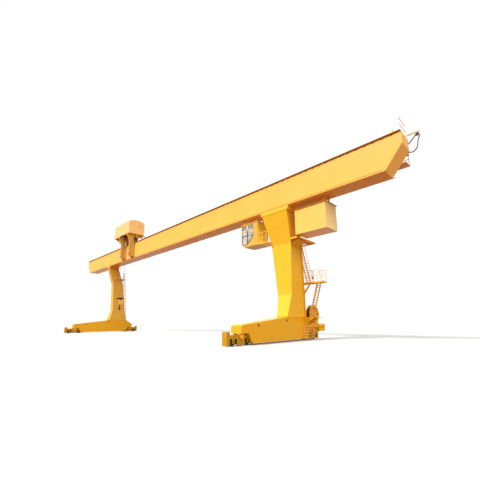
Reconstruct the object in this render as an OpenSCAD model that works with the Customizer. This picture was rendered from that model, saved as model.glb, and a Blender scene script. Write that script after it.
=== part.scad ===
// Single-girder gantry crane with L-shaped legs, modelled at half its real size.
// X runs along the girder, from the ladder leg to the cab leg. Y runs away from the hook's side.
// Lengths are millimetres of the model.

/* [Overall] */
// Distance between the two rails the crane runs on
span = 20000; // [16000:100:24000]
// Girder beyond the cab leg
near_cantilever = 5700; // [3000:50:7000]
// Girder beyond the ladder leg
far_cantilever = 5800; // [3000:50:7000]
// Underside of the girder above the floor
girder_bottom = 6085; // [5000:5:7000]

/* [Girder] */
// Width of the box between the outer faces of its webs
girder_width = 810; // [600:10:1000]
// Depth of the box
girder_height = 1320; // [1000:10:1600]
// Thickness of the webs
web_t = 8; // [5:1:20]
// Thickness of the flanges
flange_t = 14; // [8:1:30]
// Overhang of the top flange past each web
top_overhang = 60; // [20:5:100]
// Overhang of the bottom flange past each web
bottom_overhang = 24; // [10:2:60]
// Height of the upright part of each end
end_upright = 476; // [200:2:900]
// Length over which each end slopes in below that
end_slope = 650; // [200:10:1200]
// Height of the rail the trolley runs on
rail_h = 54; // [30:2:90]
// Width of that rail
rail_w = 40; // [20:2:80]
// Distance of the rail from the front web
rail_y = 120; // [60:5:250]
// Height of the end stops above the rail's foot
stop_h = 230; // [120:5:300]

/* [Legs] */
// Depth of the band between girder and leg
head_h = 190; // [100:5:300]
// Width of the cab leg at its top
near_top_w = 1455; // [1000:5:1800]
// Width of the cab leg at its upper bend
near_mid_w = 1120; // [800:5:1400]
// Width of the cab leg at its lower bend
near_bend_w = 775; // [600:5:1200]
// Width of the cab leg at its foot
near_foot_w = 580; // [400:5:900]
// Width of the ladder leg at its top
far_top_w = 400; // [300:5:900]
// Width of the ladder leg at its upper bend
far_mid_w = 460; // [350:5:900]
// Width of the ladder leg at its lower bend
far_bend_w = 560; // [400:5:900]
// Width of the ladder leg at its foot
far_foot_w = 760; // [400:5:900]
// Height of the upper bend
bend_z1 = 4450; // [4000:5:5200]
// Height of the lower bend
bend_z2 = 2062; // [1500:2:2600]
// Front face at the upper bend, from the front web
leg_y0 = 485; // [300:5:700]
// Depth of a leg at its upper bend
leg_d = 895; // [700:5:1100]
// Front face at the lower bend, from the front web
low_y0 = 603; // [400:1:800]
// Depth of a leg at its lower bend
low_d = 1102; // [900:2:1300]
// Front face of the foot, from the front web
foot_y0 = 345; // [200:1:600]
// Depth of the foot of a leg
foot_d = 1512; // [1200:2:1800]
// Thickness of the plates on a leg's front and back
plate_t = 10; // [6:1:20]
// Overhang of those plates past the sides
plate_over = 90; // [10:2:120]

/* [Saddle beams] */
// Width of a saddle beam
beam_w = 560; // [400:5:800]
// Height of a saddle beam's top
beam_top = 1045; // [800:5:1300]
// Height of a saddle beam's underside
beam_bottom = 64; // [40:2:200]
// Front end of a saddle beam, from the front web
beam_y0 = -2550; // [-3000:10:-2000]
// Back end of a saddle beam, from the front web
beam_y1 = 2550; // [2300:10:2800]
// Height of a saddle beam's top at its ends
beam_end_top = 755; // [600:5:900]
// Underside of the ends, above the bogies
beam_end_bottom = 440; // [425:5:500]

/* [Bogies] */
// Distance of a bogie's pin from the beam's end
pin_in = 125; // [60:5:200]
// Distance between a bogie's two wheels
wheel_base = 775; // [620:5:880]
// Diameter of a wheel
wheel_d = 340; // [250:10:420]
// Width of a wheel
wheel_w = 100; // [60:5:140]
// Width of a bogie
bogie_w = 260; // [200:10:360]
// Length of a bogie
bogie_l = 1440; // [1400:10:1640]
// Top of a bogie
bogie_top = 400; // [360:5:410]

/* [Trolley] */
// Place of the trolley's middle along the girder
trolley_x = -6000; // [-9000:50:9000]
// Length of the hood
hood_l = 2880; // [2000:50:3400]
// Front face of the hood, from the front web
hood_y0 = -620; // [-700:10:-200]
// Depth of the hood
hood_d = 1325; // [1000:5:1800]
// Height of the trolley's deck above the girder
deck_h = 690; // [500:10:900]
// Height of the hood at its sides
hood_h = 1020; // [800:10:1500]
// Rise of the hood's round roof
hood_rise = 160; // [50:10:300]
// Distance between the two arms in front of the girder
arm_pitch = 1575; // [800:5:2200]
// Diameter of the trolley's wheels
trolley_wheel_d = 250; // [160:10:320]

/* [Hook] */
// Distance of the hook in front of the web
hook_y = -360; // [-500:10:-300]
// Height of the sheaves' centre
hook_z = 2640; // [1500:10:5000]
// Diameter of the sheaves
sheave_d = 320; // [200:10:400]
// Reach of the block's cheeks over the sheaves' centre
cheek_rise = 220; // [200:5:300]
// Diameter of the ropes
rope_d = 12; // [6:1:20]

/* [Cab and electrical room] */
// Left side of the cab, before the middle of the cab leg
cab_before_leg = 2300; // [2250:10:3000]
// Length of the cab along the girder
cab_l = 1125; // [800:5:1500]
// Front of the cab, from the front web
cab_y0 = 150; // [-200:10:500]
// Depth of the cab
cab_d = 800; // [600:10:1200]
// Floor of the cab
cab_z = 4665; // [4400:5:5000]
// Height of the cab
cab_h = 1175; // [1000:5:1200]
// Left side of the electrical room, past the middle of the cab leg
room_past_leg = 975; // [950:5:1500]
// Length of the room along the girder
room_l = 1530; // [1000:10:2200]
// Front of the room, from the front web
room_y0 = 285; // [0:5:500]
// Depth of the room
room_d = 930; // [700:10:1200]
// Floor of the room
room_z = 4680; // [4400:10:5000]
// Height of the room
room_h = 1165; // [900:5:1400]

/* [Walkways and stairs] */
// Height of the walkway along the girder's back
walk_z = 6575; // [6200:5:7000]
// Width of that walkway
walk_w = 460; // [300:10:600]
// Height of the railings
rail_height = 540; // [400:10:600]
// Height of the platform at the upper bend
upper_z = 4660; // [4480:10:4900]
// Height of the middle platform
mid_z = 2680; // [2400:10:3000]
// Height of the ladder leg's platform
far_z = 4950; // [4800:10:5200]
// Depth of that platform behind the leg
far_deck_d = 350; // [250:5:400]
// Reach of the cab leg's platform past the middle of the leg
upper_reach = 920; // [850:10:960]
// Length of the hatch in it
hatch_l = 490; // [450:10:600]
// Front edge of the stairs
stair_y0 = 1660; // [1640:5:1800]
// Width of the stairs
stair_w = 350; // [250:10:450]

/* [Cable supply] */
// Radius of the cable reel
reel_r = 465; // [300:5:500]
// Height of the reel's centre
reel_z = 1205; // [1150:5:1500]
// Distance of the reel's centre behind the saddle beam
reel_out = 375; // [340:5:600]
// Height of the rail that carries the trolley's cable
festoon_z = 7660; // [7500:10:7900]
// Distance of that rail behind the front web
festoon_y = 960; // [900:10:1100]

/* [Hidden] */
$fn = 48;
near_x = span / 2;
far_x = -span / 2;
end_near = near_x + near_cantilever;
end_far = far_x - far_cantilever;
girder_top = girder_bottom + girder_height;
mid_end = girder_top - end_upright;
leg_top = girder_bottom - head_h;
festoon_x1 = end_near + 380;
pin_y0 = beam_y0 + pin_in;
pin_y1 = beam_y1 - pin_in;
reel_y = beam_y1 + reel_out;
y_front = pin_y0 - bogie_l / 2;
y_back = reel_y + 850;
shift = [-(end_far + festoon_x1) / 2, -(y_front + y_back) / 2, 0];
rail_top = girder_top + rail_h;
wheel_r = wheel_d / 2;
run_gap = 0.3;

yellow = [0.96, 0.72, 0.10];
grey = [0.45, 0.46, 0.47];
dark = [0.12, 0.12, 0.13];
steel = [0.55, 0.55, 0.56];

// box between two corners
module block(x0, x1, y0, y1, z0, z1) {
    translate([x0, y0, z0]) cube([x1 - x0, y1 - y0, z1 - z0]);
}
// outline in X and Z, drawn out along Y
module xz(y0, y1) {
    translate([0, y1, 0]) rotate([90, 0, 0]) linear_extrude(y1 - y0) children();
}
// outline in Y and Z, drawn out along X
module yz(x0, x1) {
    translate([x0, 0, 0]) rotate([90, 0, 90]) linear_extrude(x1 - x0) children();
}
// cylinder along X
module xcyl(x0, x1, y, z, r, n = 48) {
    translate([x0, y, z]) rotate([0, 90, 0]) cylinder(h = x1 - x0, r = r, $fn = n);
}
// cylinder along Y
module ycyl(x, y0, y1, z, r, n = 48) {
    translate([x, y1, z]) rotate([90, 0, 0]) cylinder(h = y1 - y0, r = r, $fn = n);
}
module put() {
    translate(shift) children();
}

// girder
module web_outline() {
    zb = girder_bottom + flange_t;
    zt = girder_top - flange_t;
    polygon([[end_near, zt], [end_near, mid_end], [end_near - end_slope, zb],
             [end_far + end_slope, zb], [end_far, mid_end], [end_far, zt]]);
}
module girder_front_web() {
    color(yellow) put() xz(0, web_t) web_outline();
}
module girder_back_web() {
    color(yellow) put() xz(girder_width - web_t, girder_width) web_outline();
}
module girder_top_flange() {
    color(yellow) put() block(end_far, end_near, -top_overhang, girder_width + top_overhang,
                              girder_top - flange_t, girder_top);
}
// short stiffeners under the overhang of the top flange
module flange_brackets() {
    pitch = 320;
    n = floor((end_near - end_far - 300) / pitch);
    z = girder_top - flange_t;
    color(yellow) put() for (i = [0:n]) translate([end_far + 150 + i * pitch, 0, 0]) for (s = [0, 1])
        yz(-4, 4) polygon([[s * girder_width, z],
                           [s * (girder_width + top_overhang) - (1 - s) * top_overhang, z],
                           [s * girder_width, z - 90]]);
}
module girder_bottom_flange() {
    color(yellow) put() block(end_far + end_slope, end_near - end_slope, -bottom_overhang,
                              girder_width + bottom_overhang, girder_bottom, girder_bottom + flange_t);
}
module end_plate() {
    zb = girder_bottom + flange_t;
    zt = girder_top - flange_t;
    polygon([[0, zt], [0, mid_end], [-end_slope, zb], [-end_slope - 16, zb], [-12, mid_end + 4], [-12, zt]]);
}
module girder_end_plates() {
    color(yellow) put() {
        translate([end_near, 0, 0]) xz(web_t, girder_width - web_t) end_plate();
        translate([end_far, 0, 0]) xz(web_t, girder_width - web_t) mirror([1, 0, 0]) end_plate();
    }
}
module trolley_rail() {
    color(steel) put() translate([end_far + 260, rail_y, girder_top]) rotate([90, 0, 90])
        linear_extrude(end_near - end_far - 520)
        polygon([[-rail_w * 0.8, 0], [rail_w * 0.8, 0], [rail_w * 0.8, 12], [rail_w * 0.25, 18],
                 [rail_w * 0.25, rail_h - 18], [rail_w / 2, rail_h - 14], [rail_w / 2, rail_h],
                 [-rail_w / 2, rail_h], [-rail_w / 2, rail_h - 14], [-rail_w * 0.25, rail_h - 18],
                 [-rail_w * 0.25, 18], [-rail_w * 0.8, 12]]);
}
module reaction_rail() {
    color(yellow) put() block(end_far + end_slope + 100, end_near - end_slope - 100, -16, 0,
                              girder_bottom + 70, girder_bottom + 140);
}
module end_stops() {
    color(yellow) put() for (s = [[end_near - 330, -1], [end_far + 330, 1]]) {
        translate([s[0], 0, 0]) xz(rail_y + 40, rail_y + 200)
            polygon([[0, girder_top], [-s[1] * 150, girder_top], [-s[1] * 60, girder_top + stop_h],
                     [0, girder_top + stop_h]]);
    }
}

// legs
leg_zs = [leg_top, bend_z1, bend_z2, beam_top];
front_ys = [0, leg_y0, low_y0, foot_y0];
back_ys = [girder_width + 85, leg_y0 + leg_d, low_y0 + low_d, foot_y0 + foot_d];
near_ws = [near_top_w, near_mid_w, near_bend_w, near_foot_w];
far_ws = [far_top_w, far_mid_w, far_bend_w, far_foot_w];
// value at height z of a quantity that runs straight from bend to bend
function along(z, v) = let(i = z > bend_z1 ? 0 : z > bend_z2 ? 1 : 2)
    v[i] + (v[i + 1] - v[i]) * (leg_zs[i] - z) / (leg_zs[i] - leg_zs[i + 1]);
function near_half(z) = along(z, near_ws) / 2;
function far_half(z) = along(z, far_ws) / 2;
function leg_front(z) = along(z, front_ys);
function leg_back(z) = along(z, back_ys);
function pairs(v, o) = [for (i = [0:3]) [v[i] + o, leg_zs[i]]];
function back_to_front(v) = [for (i = [3:-1:0]) v[i]];
module leg_front_outline(ws, o) {
    half = [for (w = ws) w / 2 - o];
    polygon(concat(pairs(-half, 0), back_to_front(pairs(half, 0))));
}
module leg_strip(v, o0, o1) {
    yz(-1000, 1000) polygon(concat(pairs(v, o0), back_to_front(pairs(v, o1))));
}
module leg(ws) {
    intersection() {
        xz(-10, 2500) leg_front_outline(ws, plate_over);
        yz(-1000, 1000) polygon(concat(pairs(front_ys, plate_t), back_to_front(pairs(back_ys, -plate_t))));
    }
    intersection() {
        xz(-10, 2500) leg_front_outline(ws, 0);
        union() {
            leg_strip(front_ys, 0, plate_t);
            leg_strip(back_ys, -plate_t, 0);
        }
    }
    w = ws[0] / 2 + 40;
    xz(-12, back_ys[0] + 12)
        polygon([[-w, leg_top], [w, leg_top], [w + 70, girder_bottom], [-w - 70, girder_bottom]]);
}
module near_leg() {
    color(yellow) put() translate([near_x, 0, 0]) leg(near_ws);
}
module far_leg() {
    color(yellow) put() translate([far_x, 0, 0]) leg(far_ws);
}

// saddle beams
cap_y0 = foot_y0 - 130;
cap_y1 = foot_y0 + foot_d + 120;
rib_n = 8;
module beam_body() {
    h = beam_w / 2;
    difference() {
        yz(-h, h) polygon([[beam_y0, beam_end_bottom], [beam_y0, beam_end_top - 60],
            [beam_y0 + 60, beam_end_top], [cap_y0, beam_top - 10],
            [cap_y1, beam_top - 10], [beam_y1 - 60, beam_end_top],
            [beam_y1, beam_end_top - 60], [beam_y1, beam_end_bottom], [beam_y1 - 400, beam_end_bottom],
            [beam_y1 - 580, beam_bottom], [beam_y0 + 580, beam_bottom], [beam_y0 + 400, beam_end_bottom]]);
        block(-bogie_w / 2 - 30, bogie_w / 2 + 30, beam_y0 - 1, pin_y0 + bogie_l / 2 + 30,
              0, beam_end_bottom);
        block(-bogie_w / 2 - 30, bogie_w / 2 + 30, pin_y1 - bogie_l / 2 - 30, beam_y1 + 1,
              0, beam_end_bottom);
        for (c = [[beam_y0 + 970, 720], [cap_y0 + 100, beam_top - 135]]) {
            xcyl(-h - 1, -h + 40, c[0], c[1], 52, 24);
            xcyl(h - 40, h + 1, c[0], c[1], 52, 24);
        }
    }
}
module beam_cap() {
    h = beam_w / 2 + 24;
    block(-h, h, cap_y0, cap_y1, beam_top - 10, beam_top);
    for (i = [0:rib_n - 1]) {
        y = cap_y0 + 220 + i * (cap_y1 - cap_y0 - 350) / (rib_n - 1);
        xz(y, y + 8) polygon([[-h + 2, beam_top - 10], [-beam_w / 2, beam_top - 235],
                              [beam_w / 2, beam_top - 235], [h - 2, beam_top - 10]]);
    }
}

// bogies, with the pin each one tilts on
pin_z = 300;
pin_r = 45;
module pin_lugs() {
    for (y = [pin_y0, pin_y1]) {
        for (s = [-1, 1]) translate([s * (bogie_w / 2 + 37), y, 0]) yz(-22, 22)
            polygon([[-110, beam_end_bottom], [-60, pin_z - 70], [60, pin_z - 70], [110, beam_end_bottom]]);
        xcyl(-bogie_w / 2 - 15, bogie_w / 2 + 15, y, pin_z, pin_r);
    }
}
module saddle_beam() {
    beam_body();
    beam_cap();
    pin_lugs();
}
module near_saddle_beam() {
    color(yellow) put() translate([near_x, 0, 0]) saddle_beam();
}
module far_saddle_beam() {
    color(yellow) put() translate([far_x, 0, 0]) saddle_beam();
}
wheel_open = wheel_r + 8;
open_top = wheel_r + 92;
function arch(c, o) = [[c + o, 30], [c + o, open_top - 30], [c + o - 30, open_top], [c - o + 30, open_top],
                       [c - o, open_top - 30], [c - o, 30]];
// out is -1 or 1, the side of the bogie's outer end
module bogie(x, y, out) {
    w = bogie_w / 2;
    l = bogie_l / 2;
    o = wheel_open;
    k = wheel_base / 2;
    color(yellow) put() translate([x, y, 0]) drive_unit(out);
    color(yellow) put() translate([x, y, 0]) difference() {
        union() {
            for (s = [-1, 1]) {
                yz(s > 0 ? w - 24 : -w, s > 0 ? w : -w + 24)
                    polygon(concat([[-l, 30], [-l, bogie_top - 50], [-l + 50, bogie_top], [l - 50, bogie_top],
                                    [l, bogie_top - 50], [l, 30]], arch(k, o), arch(-k, o)));
                for (c = [-k, k]) block(s > 0 ? w - 24 : -w - 6, s > 0 ? w + 6 : -w + 24, c - 62, c + 62,
                                        wheel_r - 74, open_top + 12);
            }
            block(-w + 24, w - 24, -l + 50, l - 50, bogie_top - 24, bogie_top);
            block(-w, w, out > 0 ? k + o : -l, out > 0 ? l : -k - o, 30, bogie_top + 115);
            block(-w + 24, w - 24, -out * (l - 12) - 12, -out * (l - 12) + 12, 30, bogie_top - 50);
            block(-w + 24, w - 24, -80, 80, 200, bogie_top - 24);
        }
        for (c = [-k, k]) xcyl(-w - 10, w + 10, c, wheel_r, axle_r + run_gap);
        xcyl(-w - 10, w + 10, 0, pin_z, pin_r + run_gap);
    }
}
axle_r = 36;
module near_front_bogie() {
    bogie(near_x, pin_y0, -1);
}
module near_back_bogie() {
    bogie(near_x, pin_y1, 1);
}
module far_front_bogie() {
    bogie(far_x, pin_y0, -1);
}
module far_back_bogie() {
    bogie(far_x, pin_y1, 1);
}
module wheel(x, y) {
    color(steel) put() translate([x, y, 0]) {
        xcyl(-wheel_w / 2 + 12, wheel_w / 2 - 12, 0, wheel_r, wheel_r - 16);
        for (s = [0, 1]) xcyl(s * (wheel_w - 14) - wheel_w / 2, s * (wheel_w - 14) - wheel_w / 2 + 14,
                              0, wheel_r, wheel_r);
        xcyl(-bogie_w / 2 - 12, bogie_w / 2 + 12, 0, wheel_r, axle_r);
    }
}
module near_wheel_1() {
    wheel(near_x, pin_y0 - wheel_base / 2);
}
module near_wheel_2() {
    wheel(near_x, pin_y0 + wheel_base / 2);
}
module near_wheel_3() {
    wheel(near_x, pin_y1 - wheel_base / 2);
}
module near_wheel_4() {
    wheel(near_x, pin_y1 + wheel_base / 2);
}
module far_wheel_1() {
    wheel(far_x, pin_y0 - wheel_base / 2);
}
module far_wheel_2() {
    wheel(far_x, pin_y0 + wheel_base / 2);
}
module far_wheel_3() {
    wheel(far_x, pin_y1 - wheel_base / 2);
}
module far_wheel_4() {
    wheel(far_x, pin_y1 + wheel_base / 2);
}
// gearbox and motor at the driven wheel
module drive_unit(out) {
    w = bogie_w / 2;
    c = out * wheel_base / 2;
    block(-w - 120, -w - 20, c - 95, c + 95, 90, 330);
    block(-w - 20, -w, c - 60, c + 60, 272, 330);
    ycyl(-w - 75, min(c - out * 257, c - out * 95), max(c - out * 257, c - out * 95), 215, 58);
}

// cable reel behind the cab leg's beam
reel_axle = 32;
box_y0 = reel_y + 275;
module reel_frame() {
    color(yellow) put() translate([near_x, 0, 0]) {
        for (s = [-1, 1]) {
            translate([s * 190, 0, 0]) block(-28, 28, beam_y1, y_back, 560, 650);
            translate([s * 190, 0, 0]) yz(-8, 8) polygon([[reel_y - 210, 650], [reel_y - 60, reel_z + 60],
                [reel_y + 60, reel_z + 60], [reel_y + 210, 650]]);
            difference() {
                block(s * 147 - 35, s * 147 + 35, reel_y - 60, reel_y + 60, reel_z - 60, reel_z + 60);
                xcyl(s * 147 - 36, s * 147 + 36, reel_y, reel_z, reel_axle + run_gap);
            }
        }
        block(-162, 162, box_y0 - run_gap - 60, box_y0 - run_gap, 560, 650);
        block(-162, 162, beam_y1 + 10, beam_y1 + 70, 560, 650);
    }
}
module reel_drum() {
    color(yellow) put() translate([near_x, reel_y, reel_z]) rotate([0, 90, 0]) {
        for (z = [-100, 92]) translate([0, 0, z]) difference() {
            cylinder(h = 8, r = reel_r, $fn = 64);
            for (a = [0:45:315]) rotate([0, 0, a]) translate([reel_r * 0.62, 0, -1])
                cylinder(h = 10, r = 62, $fn = 24);
        }
        translate([0, 0, -92]) cylinder(h = 184, r = 150);
        translate([0, 0, -176]) cylinder(h = 352, r = reel_axle);
    }
}
module reel_cable() {
    color(dark) put() translate([near_x, reel_y, reel_z]) rotate([0, 90, 0]) translate([0, 0, -80])
        difference() {
            cylinder(h = 160, r = 205);
            translate([0, 0, -1]) cylinder(h = 162, r = 150);
        }
}
module junction_box() {
    color(yellow) put() translate([near_x, 0, 0]) block(-161.7, 161.7, box_y0, y_back, 350, 725);
}

// walkway along the back of the girder
deck_t = 14;
module walkway_deck() {
    color(grey) put() block(end_far + 300, end_near - 140, girder_width, girder_width + walk_w,
                            walk_z - deck_t, walk_z);
}
bracket_n = 12;
function bracket_x(i) = end_far + 700 + i * (end_near - end_far - 1400) / bracket_n;
module walkway_brackets() {
    z = walk_z - deck_t - run_gap;
    color(yellow) put() for (i = [0:bracket_n]) yz(bracket_x(i) - 6, bracket_x(i) + 6)
        polygon([[girder_width, z], [girder_width + walk_w - 30, z], [girder_width + walk_w - 30, z - 30],
                 [girder_width, z - 246]]);
}
module fence(p, q, n, z0, z1, t) {
    for (i = [0:n]) {
        a = p + (q - p) * i / n;
        translate([a[0] - t / 2, a[1] - t / 2, z0]) cube([t, t, z1 - z0]);
    }
    d = q - p;
    l = norm(d);
    for (z = [z1 - t, z0 + (z1 - z0) * 0.5]) translate([p[0], p[1], z]) rotate([0, 0, atan2(d[1], d[0])])
        translate([0, -t / 2, 0]) cube([l, t, t]);
}
module walkway_railing() {
    y = girder_width + walk_w - 16;
    color(yellow) put() fence([end_far + 310, y], [end_near - 150, y], 26, walk_z, walk_z + rail_height, 20);
}
module girder_end_rail() {
    x = end_near - 30;
    color(yellow) put() fence([x, 30], [x, girder_width - 30], 2, girder_top, girder_top + 580, 18);
}

// rail and loops that feed the trolley
channel_h = 20;
module festoon_channel() {
    color(grey) put() block(end_far + 900, festoon_x1, festoon_y - 20, festoon_y + 20,
                            festoon_z - channel_h, festoon_z + channel_h);
}
// posts on the edge of the top flange, each with an arm that the channel hangs from
module festoon_brackets() {
    y = girder_width + top_overhang;
    z = festoon_z + channel_h;
    color(yellow) put() for (i = [0:bracket_n]) {
        x = bracket_x(i) + 300;
        block(x - 14, x + 14, y - 40, y, girder_top, z);
        block(x - 14, x + 14, y - 40, festoon_y + 30, z + run_gap, z + 14);
    }
}
loop_n = 14;
loop_x0 = trolley_x + 1200;
loop_x1 = festoon_x1 - 60;
function loop_x(i) = loop_x0 + (loop_x1 - loop_x0) * i / loop_n;
module festoon_carriers() {
    color(dark) put() for (i = [0:loop_n]) translate([loop_x(i), festoon_y, 0])
        block(-22, 22, -14, 14, festoon_z - 62, festoon_z - channel_h - run_gap);
}
sag = [0.0, 0.55, 0.88, 1.0, 0.88, 0.55];
cable_r = 9;
cable_z = festoon_z - 62 - cable_r;
feed_x1 = end_near - 60;
feed_z = girder_top - 445;
cable_route = concat(
    [[feed_x1 + run_gap, feed_z], [feed_x1 + 60, feed_z], [feed_x1 + 150, feed_z - 25],
     [feed_x1 + 290, feed_z + 90], [feed_x1 + 360, feed_z + 370]],
    [for (i = [loop_n:-1:1]) for (k = [0:5])
        [loop_x(i) + (loop_x(i - 1) - loop_x(i)) * k / 6, cable_z - 430 * sag[k]]],
    [[loop_x(0), cable_z]]);
function flat_dir(r, i) = let(a = r[max(i - 1, 0)], b = r[min(i + 1, len(r) - 1)], d = b - a) d / norm(d);
function flat_ring(r, i, y, c, n) = let(t = flat_dir(r, i))
    [for (k = [0:n - 1]) let(a = 360 * k / n)
        [r[i][0] - t[1] * c * cos(a), y + c * sin(a), r[i][1] + t[0] * c * cos(a)]];
module flat_tube(r, y, c, n) {
    m = len(r);
    pts = [for (i = [0:m - 1]) each flat_ring(r, i, y, c, n)];
    polyhedron(points = pts, faces = concat(
        [[for (k = [0:n - 1]) k]], [[for (k = [n - 1:-1:0]) (m - 1) * n + k]],
        [for (i = [0:m - 2]) for (k = [0:n - 1])
            [i * n + (k + 1) % n, i * n + k, (i + 1) * n + k, (i + 1) * n + (k + 1) % n]]));
}
module festoon_cable() {
    color(dark) put() flat_tube(cable_route, festoon_y, cable_r, 8);
}
module feed_box() {
    color(yellow) put() block(feed_x1 - 180, feed_x1, girder_width, festoon_y + 40,
                              feed_z - 100, feed_z + 120);
}

// electrical room
room_x0 = near_x + room_past_leg;
hanger_y1 = girder_width - 50;
module electrical_room() {
    color(yellow) put() block(room_x0, room_x0 + room_l, room_y0, room_y0 + room_d, room_z, room_z + room_h);
}
module room_roof() {
    color(yellow) put() block(room_x0 - 10, room_x0 + room_l + 40, room_y0 - 40, room_y0 + room_d + 40,
                              room_z + room_h, room_z + room_h + 26);
}
module hanger_set(x0, x1, y0, y1, z) {
    for (x = [x0, x1]) for (y = [y0, y1])
        translate([x, y, z]) translate([-25, -25, 0]) cube([50, 50, girder_bottom - z]);
}
module room_hangers() {
    color(yellow) put() hanger_set(room_x0 + 60, room_x0 + room_l - 60, room_y0 + 40, hanger_y1,
                                   room_z + room_h + 26);
}

// driver's cab under the girder
cab_x0 = near_x - cab_before_leg;
cab_x1 = cab_x0 + cab_l;
cab_y1 = cab_y0 + cab_d;
cab_t = 24;
rake_x = 170;
rake_z = 110;
glass_x = cab_x0 + 810;
mullion_x = cab_x0 + 395;
transom_z = cab_z + cab_h - 365;
module cab_base() {
    color(yellow) put() block(cab_x0 + rake_x, cab_x1, cab_y0, cab_y1, cab_z - 30, cab_z);
}
module cab_side_outline() {
    polygon([[cab_x0 + rake_x, cab_z], [cab_x1, cab_z], [cab_x1, cab_z + cab_h], [cab_x0, cab_z + cab_h],
             [cab_x0, cab_z + rake_z]]);
}
module window_outline() {
    z1 = cab_z + cab_h - 80;
    polygon([[cab_x0 + 36, cab_z + 190], [cab_x0 + 36, z1], [glass_x, z1], [glass_x, cab_z + 485],
             [cab_x0 + 620, cab_z + 265], [cab_x0 + 300, cab_z + 70], [cab_x0 + 170, cab_z + 70]]);
}
module pane_bars() {
    translate([mullion_x, cab_z + 70]) square([60, cab_h - 150]);
    translate([cab_x0 + 36, transom_z]) square([glass_x - cab_x0 - 36, 36]);
}
module cab_front_wall() {
    color(yellow) put() difference() {
        xz(cab_y0, cab_y0 + cab_t) cab_side_outline();
        xz(cab_y0 - 1, cab_y0 + cab_t + 1) window_outline();
    }
    color(yellow) put() xz(cab_y0 - 6, cab_y0 + 8.7) intersection() {
        pane_bars();
        window_outline();
    }
}
module cab_back_wall() {
    color(yellow) put() difference() {
        xz(cab_y1 - cab_t, cab_y1) cab_side_outline();
        xz(cab_y1 - cab_t - 1, cab_y1 + 1) window_outline();
    }
    color(yellow) put() xz(cab_y1 - 8.7, cab_y1 + 6) intersection() {
        pane_bars();
        window_outline();
    }
}
module cab_left_wall() {
    y0 = cab_y0 + cab_t;
    y1 = cab_y1 - cab_t;
    color(yellow) put() difference() {
        block(cab_x0, cab_x0 + cab_t, y0, y1, cab_z + rake_z, cab_z + cab_h);
        block(cab_x0 - 1, cab_x0 + cab_t + 1, y0 + 50, y1 - 50, cab_z + rake_z + 50, cab_z + cab_h - 90);
    }
}
module cab_raked_sill() {
    y0 = cab_y0 + cab_t;
    y1 = cab_y1 - cab_t;
    color(yellow) put() xz(y0, y1) polygon([[cab_x0, cab_z + rake_z], [cab_x0 + rake_x, cab_z],
        [cab_x0 + rake_x + 40, cab_z], [cab_x0 + cab_t, cab_z + rake_z]]);
}
door_y0 = cab_y0 + cab_t + 250;
door_w = 400;
door_h = 1000;
module cab_right_wall() {
    color(yellow) put() {
        block(cab_x1 - cab_t, cab_x1, cab_y0 + cab_t, cab_y1 - cab_t, cab_z, cab_z + cab_h);
        block(cab_x1, cab_x1 + 10, door_y0, door_y0 + door_w, cab_z + 20, cab_z + door_h);
    }
}
module cab_glass() {
    color([0.6, 0.7, 0.75, 0.4]) put() {
        xz(cab_y0 + 9, cab_y0 + 15) window_outline();
        xz(cab_y1 - 15, cab_y1 - 9) window_outline();
        block(cab_x0 + 9, cab_x0 + 15, cab_y0 + cab_t + 50, cab_y1 - cab_t - 50,
              cab_z + rake_z + 50, cab_z + cab_h - 90);
    }
}
module cab_roof() {
    z = cab_z + cab_h;
    color(yellow) put() block(cab_x0 - 30, cab_x1 + 30, cab_y0 - 30, cab_y1 + 30, z, z + 24);
}
module cab_hangers() {
    color(yellow) put() hanger_set(cab_x0 + 160, cab_x1 - 120, cab_y0 + 60, hanger_y1, cab_z + cab_h + 24);
}
module cab_balcony() {
    color(yellow) put() block(cab_x1, near_x - near_half(cab_z) - run_gap, cab_y0 + 20, cab_y1,
                              cab_z - 30, cab_z);
}
module balcony_railing() {
    z1 = cab_z + rail_height;
    y = cab_y0 + 32;
    color(yellow) put() fence([cab_x1 + 20, y], [near_x - near_half(z1) - 10, y], 2, cab_z, z1, 18);
}

// platforms, stairs and ladders
lower_z = upper_z - deck_t;
rim = 66;
back_y = leg_back(lower_z - rim) + run_gap;
side_x = near_x + near_half(upper_z) + run_gap;
hatch_x0 = near_x + 110;
hatch_x1 = hatch_x0 + hatch_l;
upper_x1 = near_x + upper_reach;
upper_y0 = leg_front(lower_z) + plate_t + 5;
upper_y2 = stair_y0 + stair_w + 45;
// deck with a rim round its free edges
module near_upper_platform() {
    color(yellow) put() difference() {
        translate([0, 0, lower_z - rim]) linear_extrude(deck_t + rim) difference() {
            polygon([[side_x, upper_y0], [upper_x1, upper_y0], [upper_x1, upper_y2], [near_x - 700, upper_y2],
                     [near_x - 700, back_y], [side_x, back_y]]);
            translate([hatch_x0, stair_y0 - 12]) square([hatch_x1 - hatch_x0, stair_w + 24]);
        }
        translate([0, 0, lower_z - rim - 1]) linear_extrude(rim + 1) difference() {
            polygon([[side_x - 1, upper_y0 + 10], [upper_x1 - 10, upper_y0 + 10],
                     [upper_x1 - 10, upper_y2 - 10], [near_x - 690, upper_y2 - 10],
                     [near_x - 690, back_y - 1], [side_x - 1, back_y - 1]]);
            translate([hatch_x0 - 10, stair_y0 - 22]) square([hatch_x1 - hatch_x0 + 20, stair_w + 44]);
        }
    }
}
// box haunches that carry the deck from the leg
haunch_z = lower_z - 340;
haunch_mid_z = min(max(bend_z1, haunch_z + 1), lower_z - rim - 1);
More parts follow.
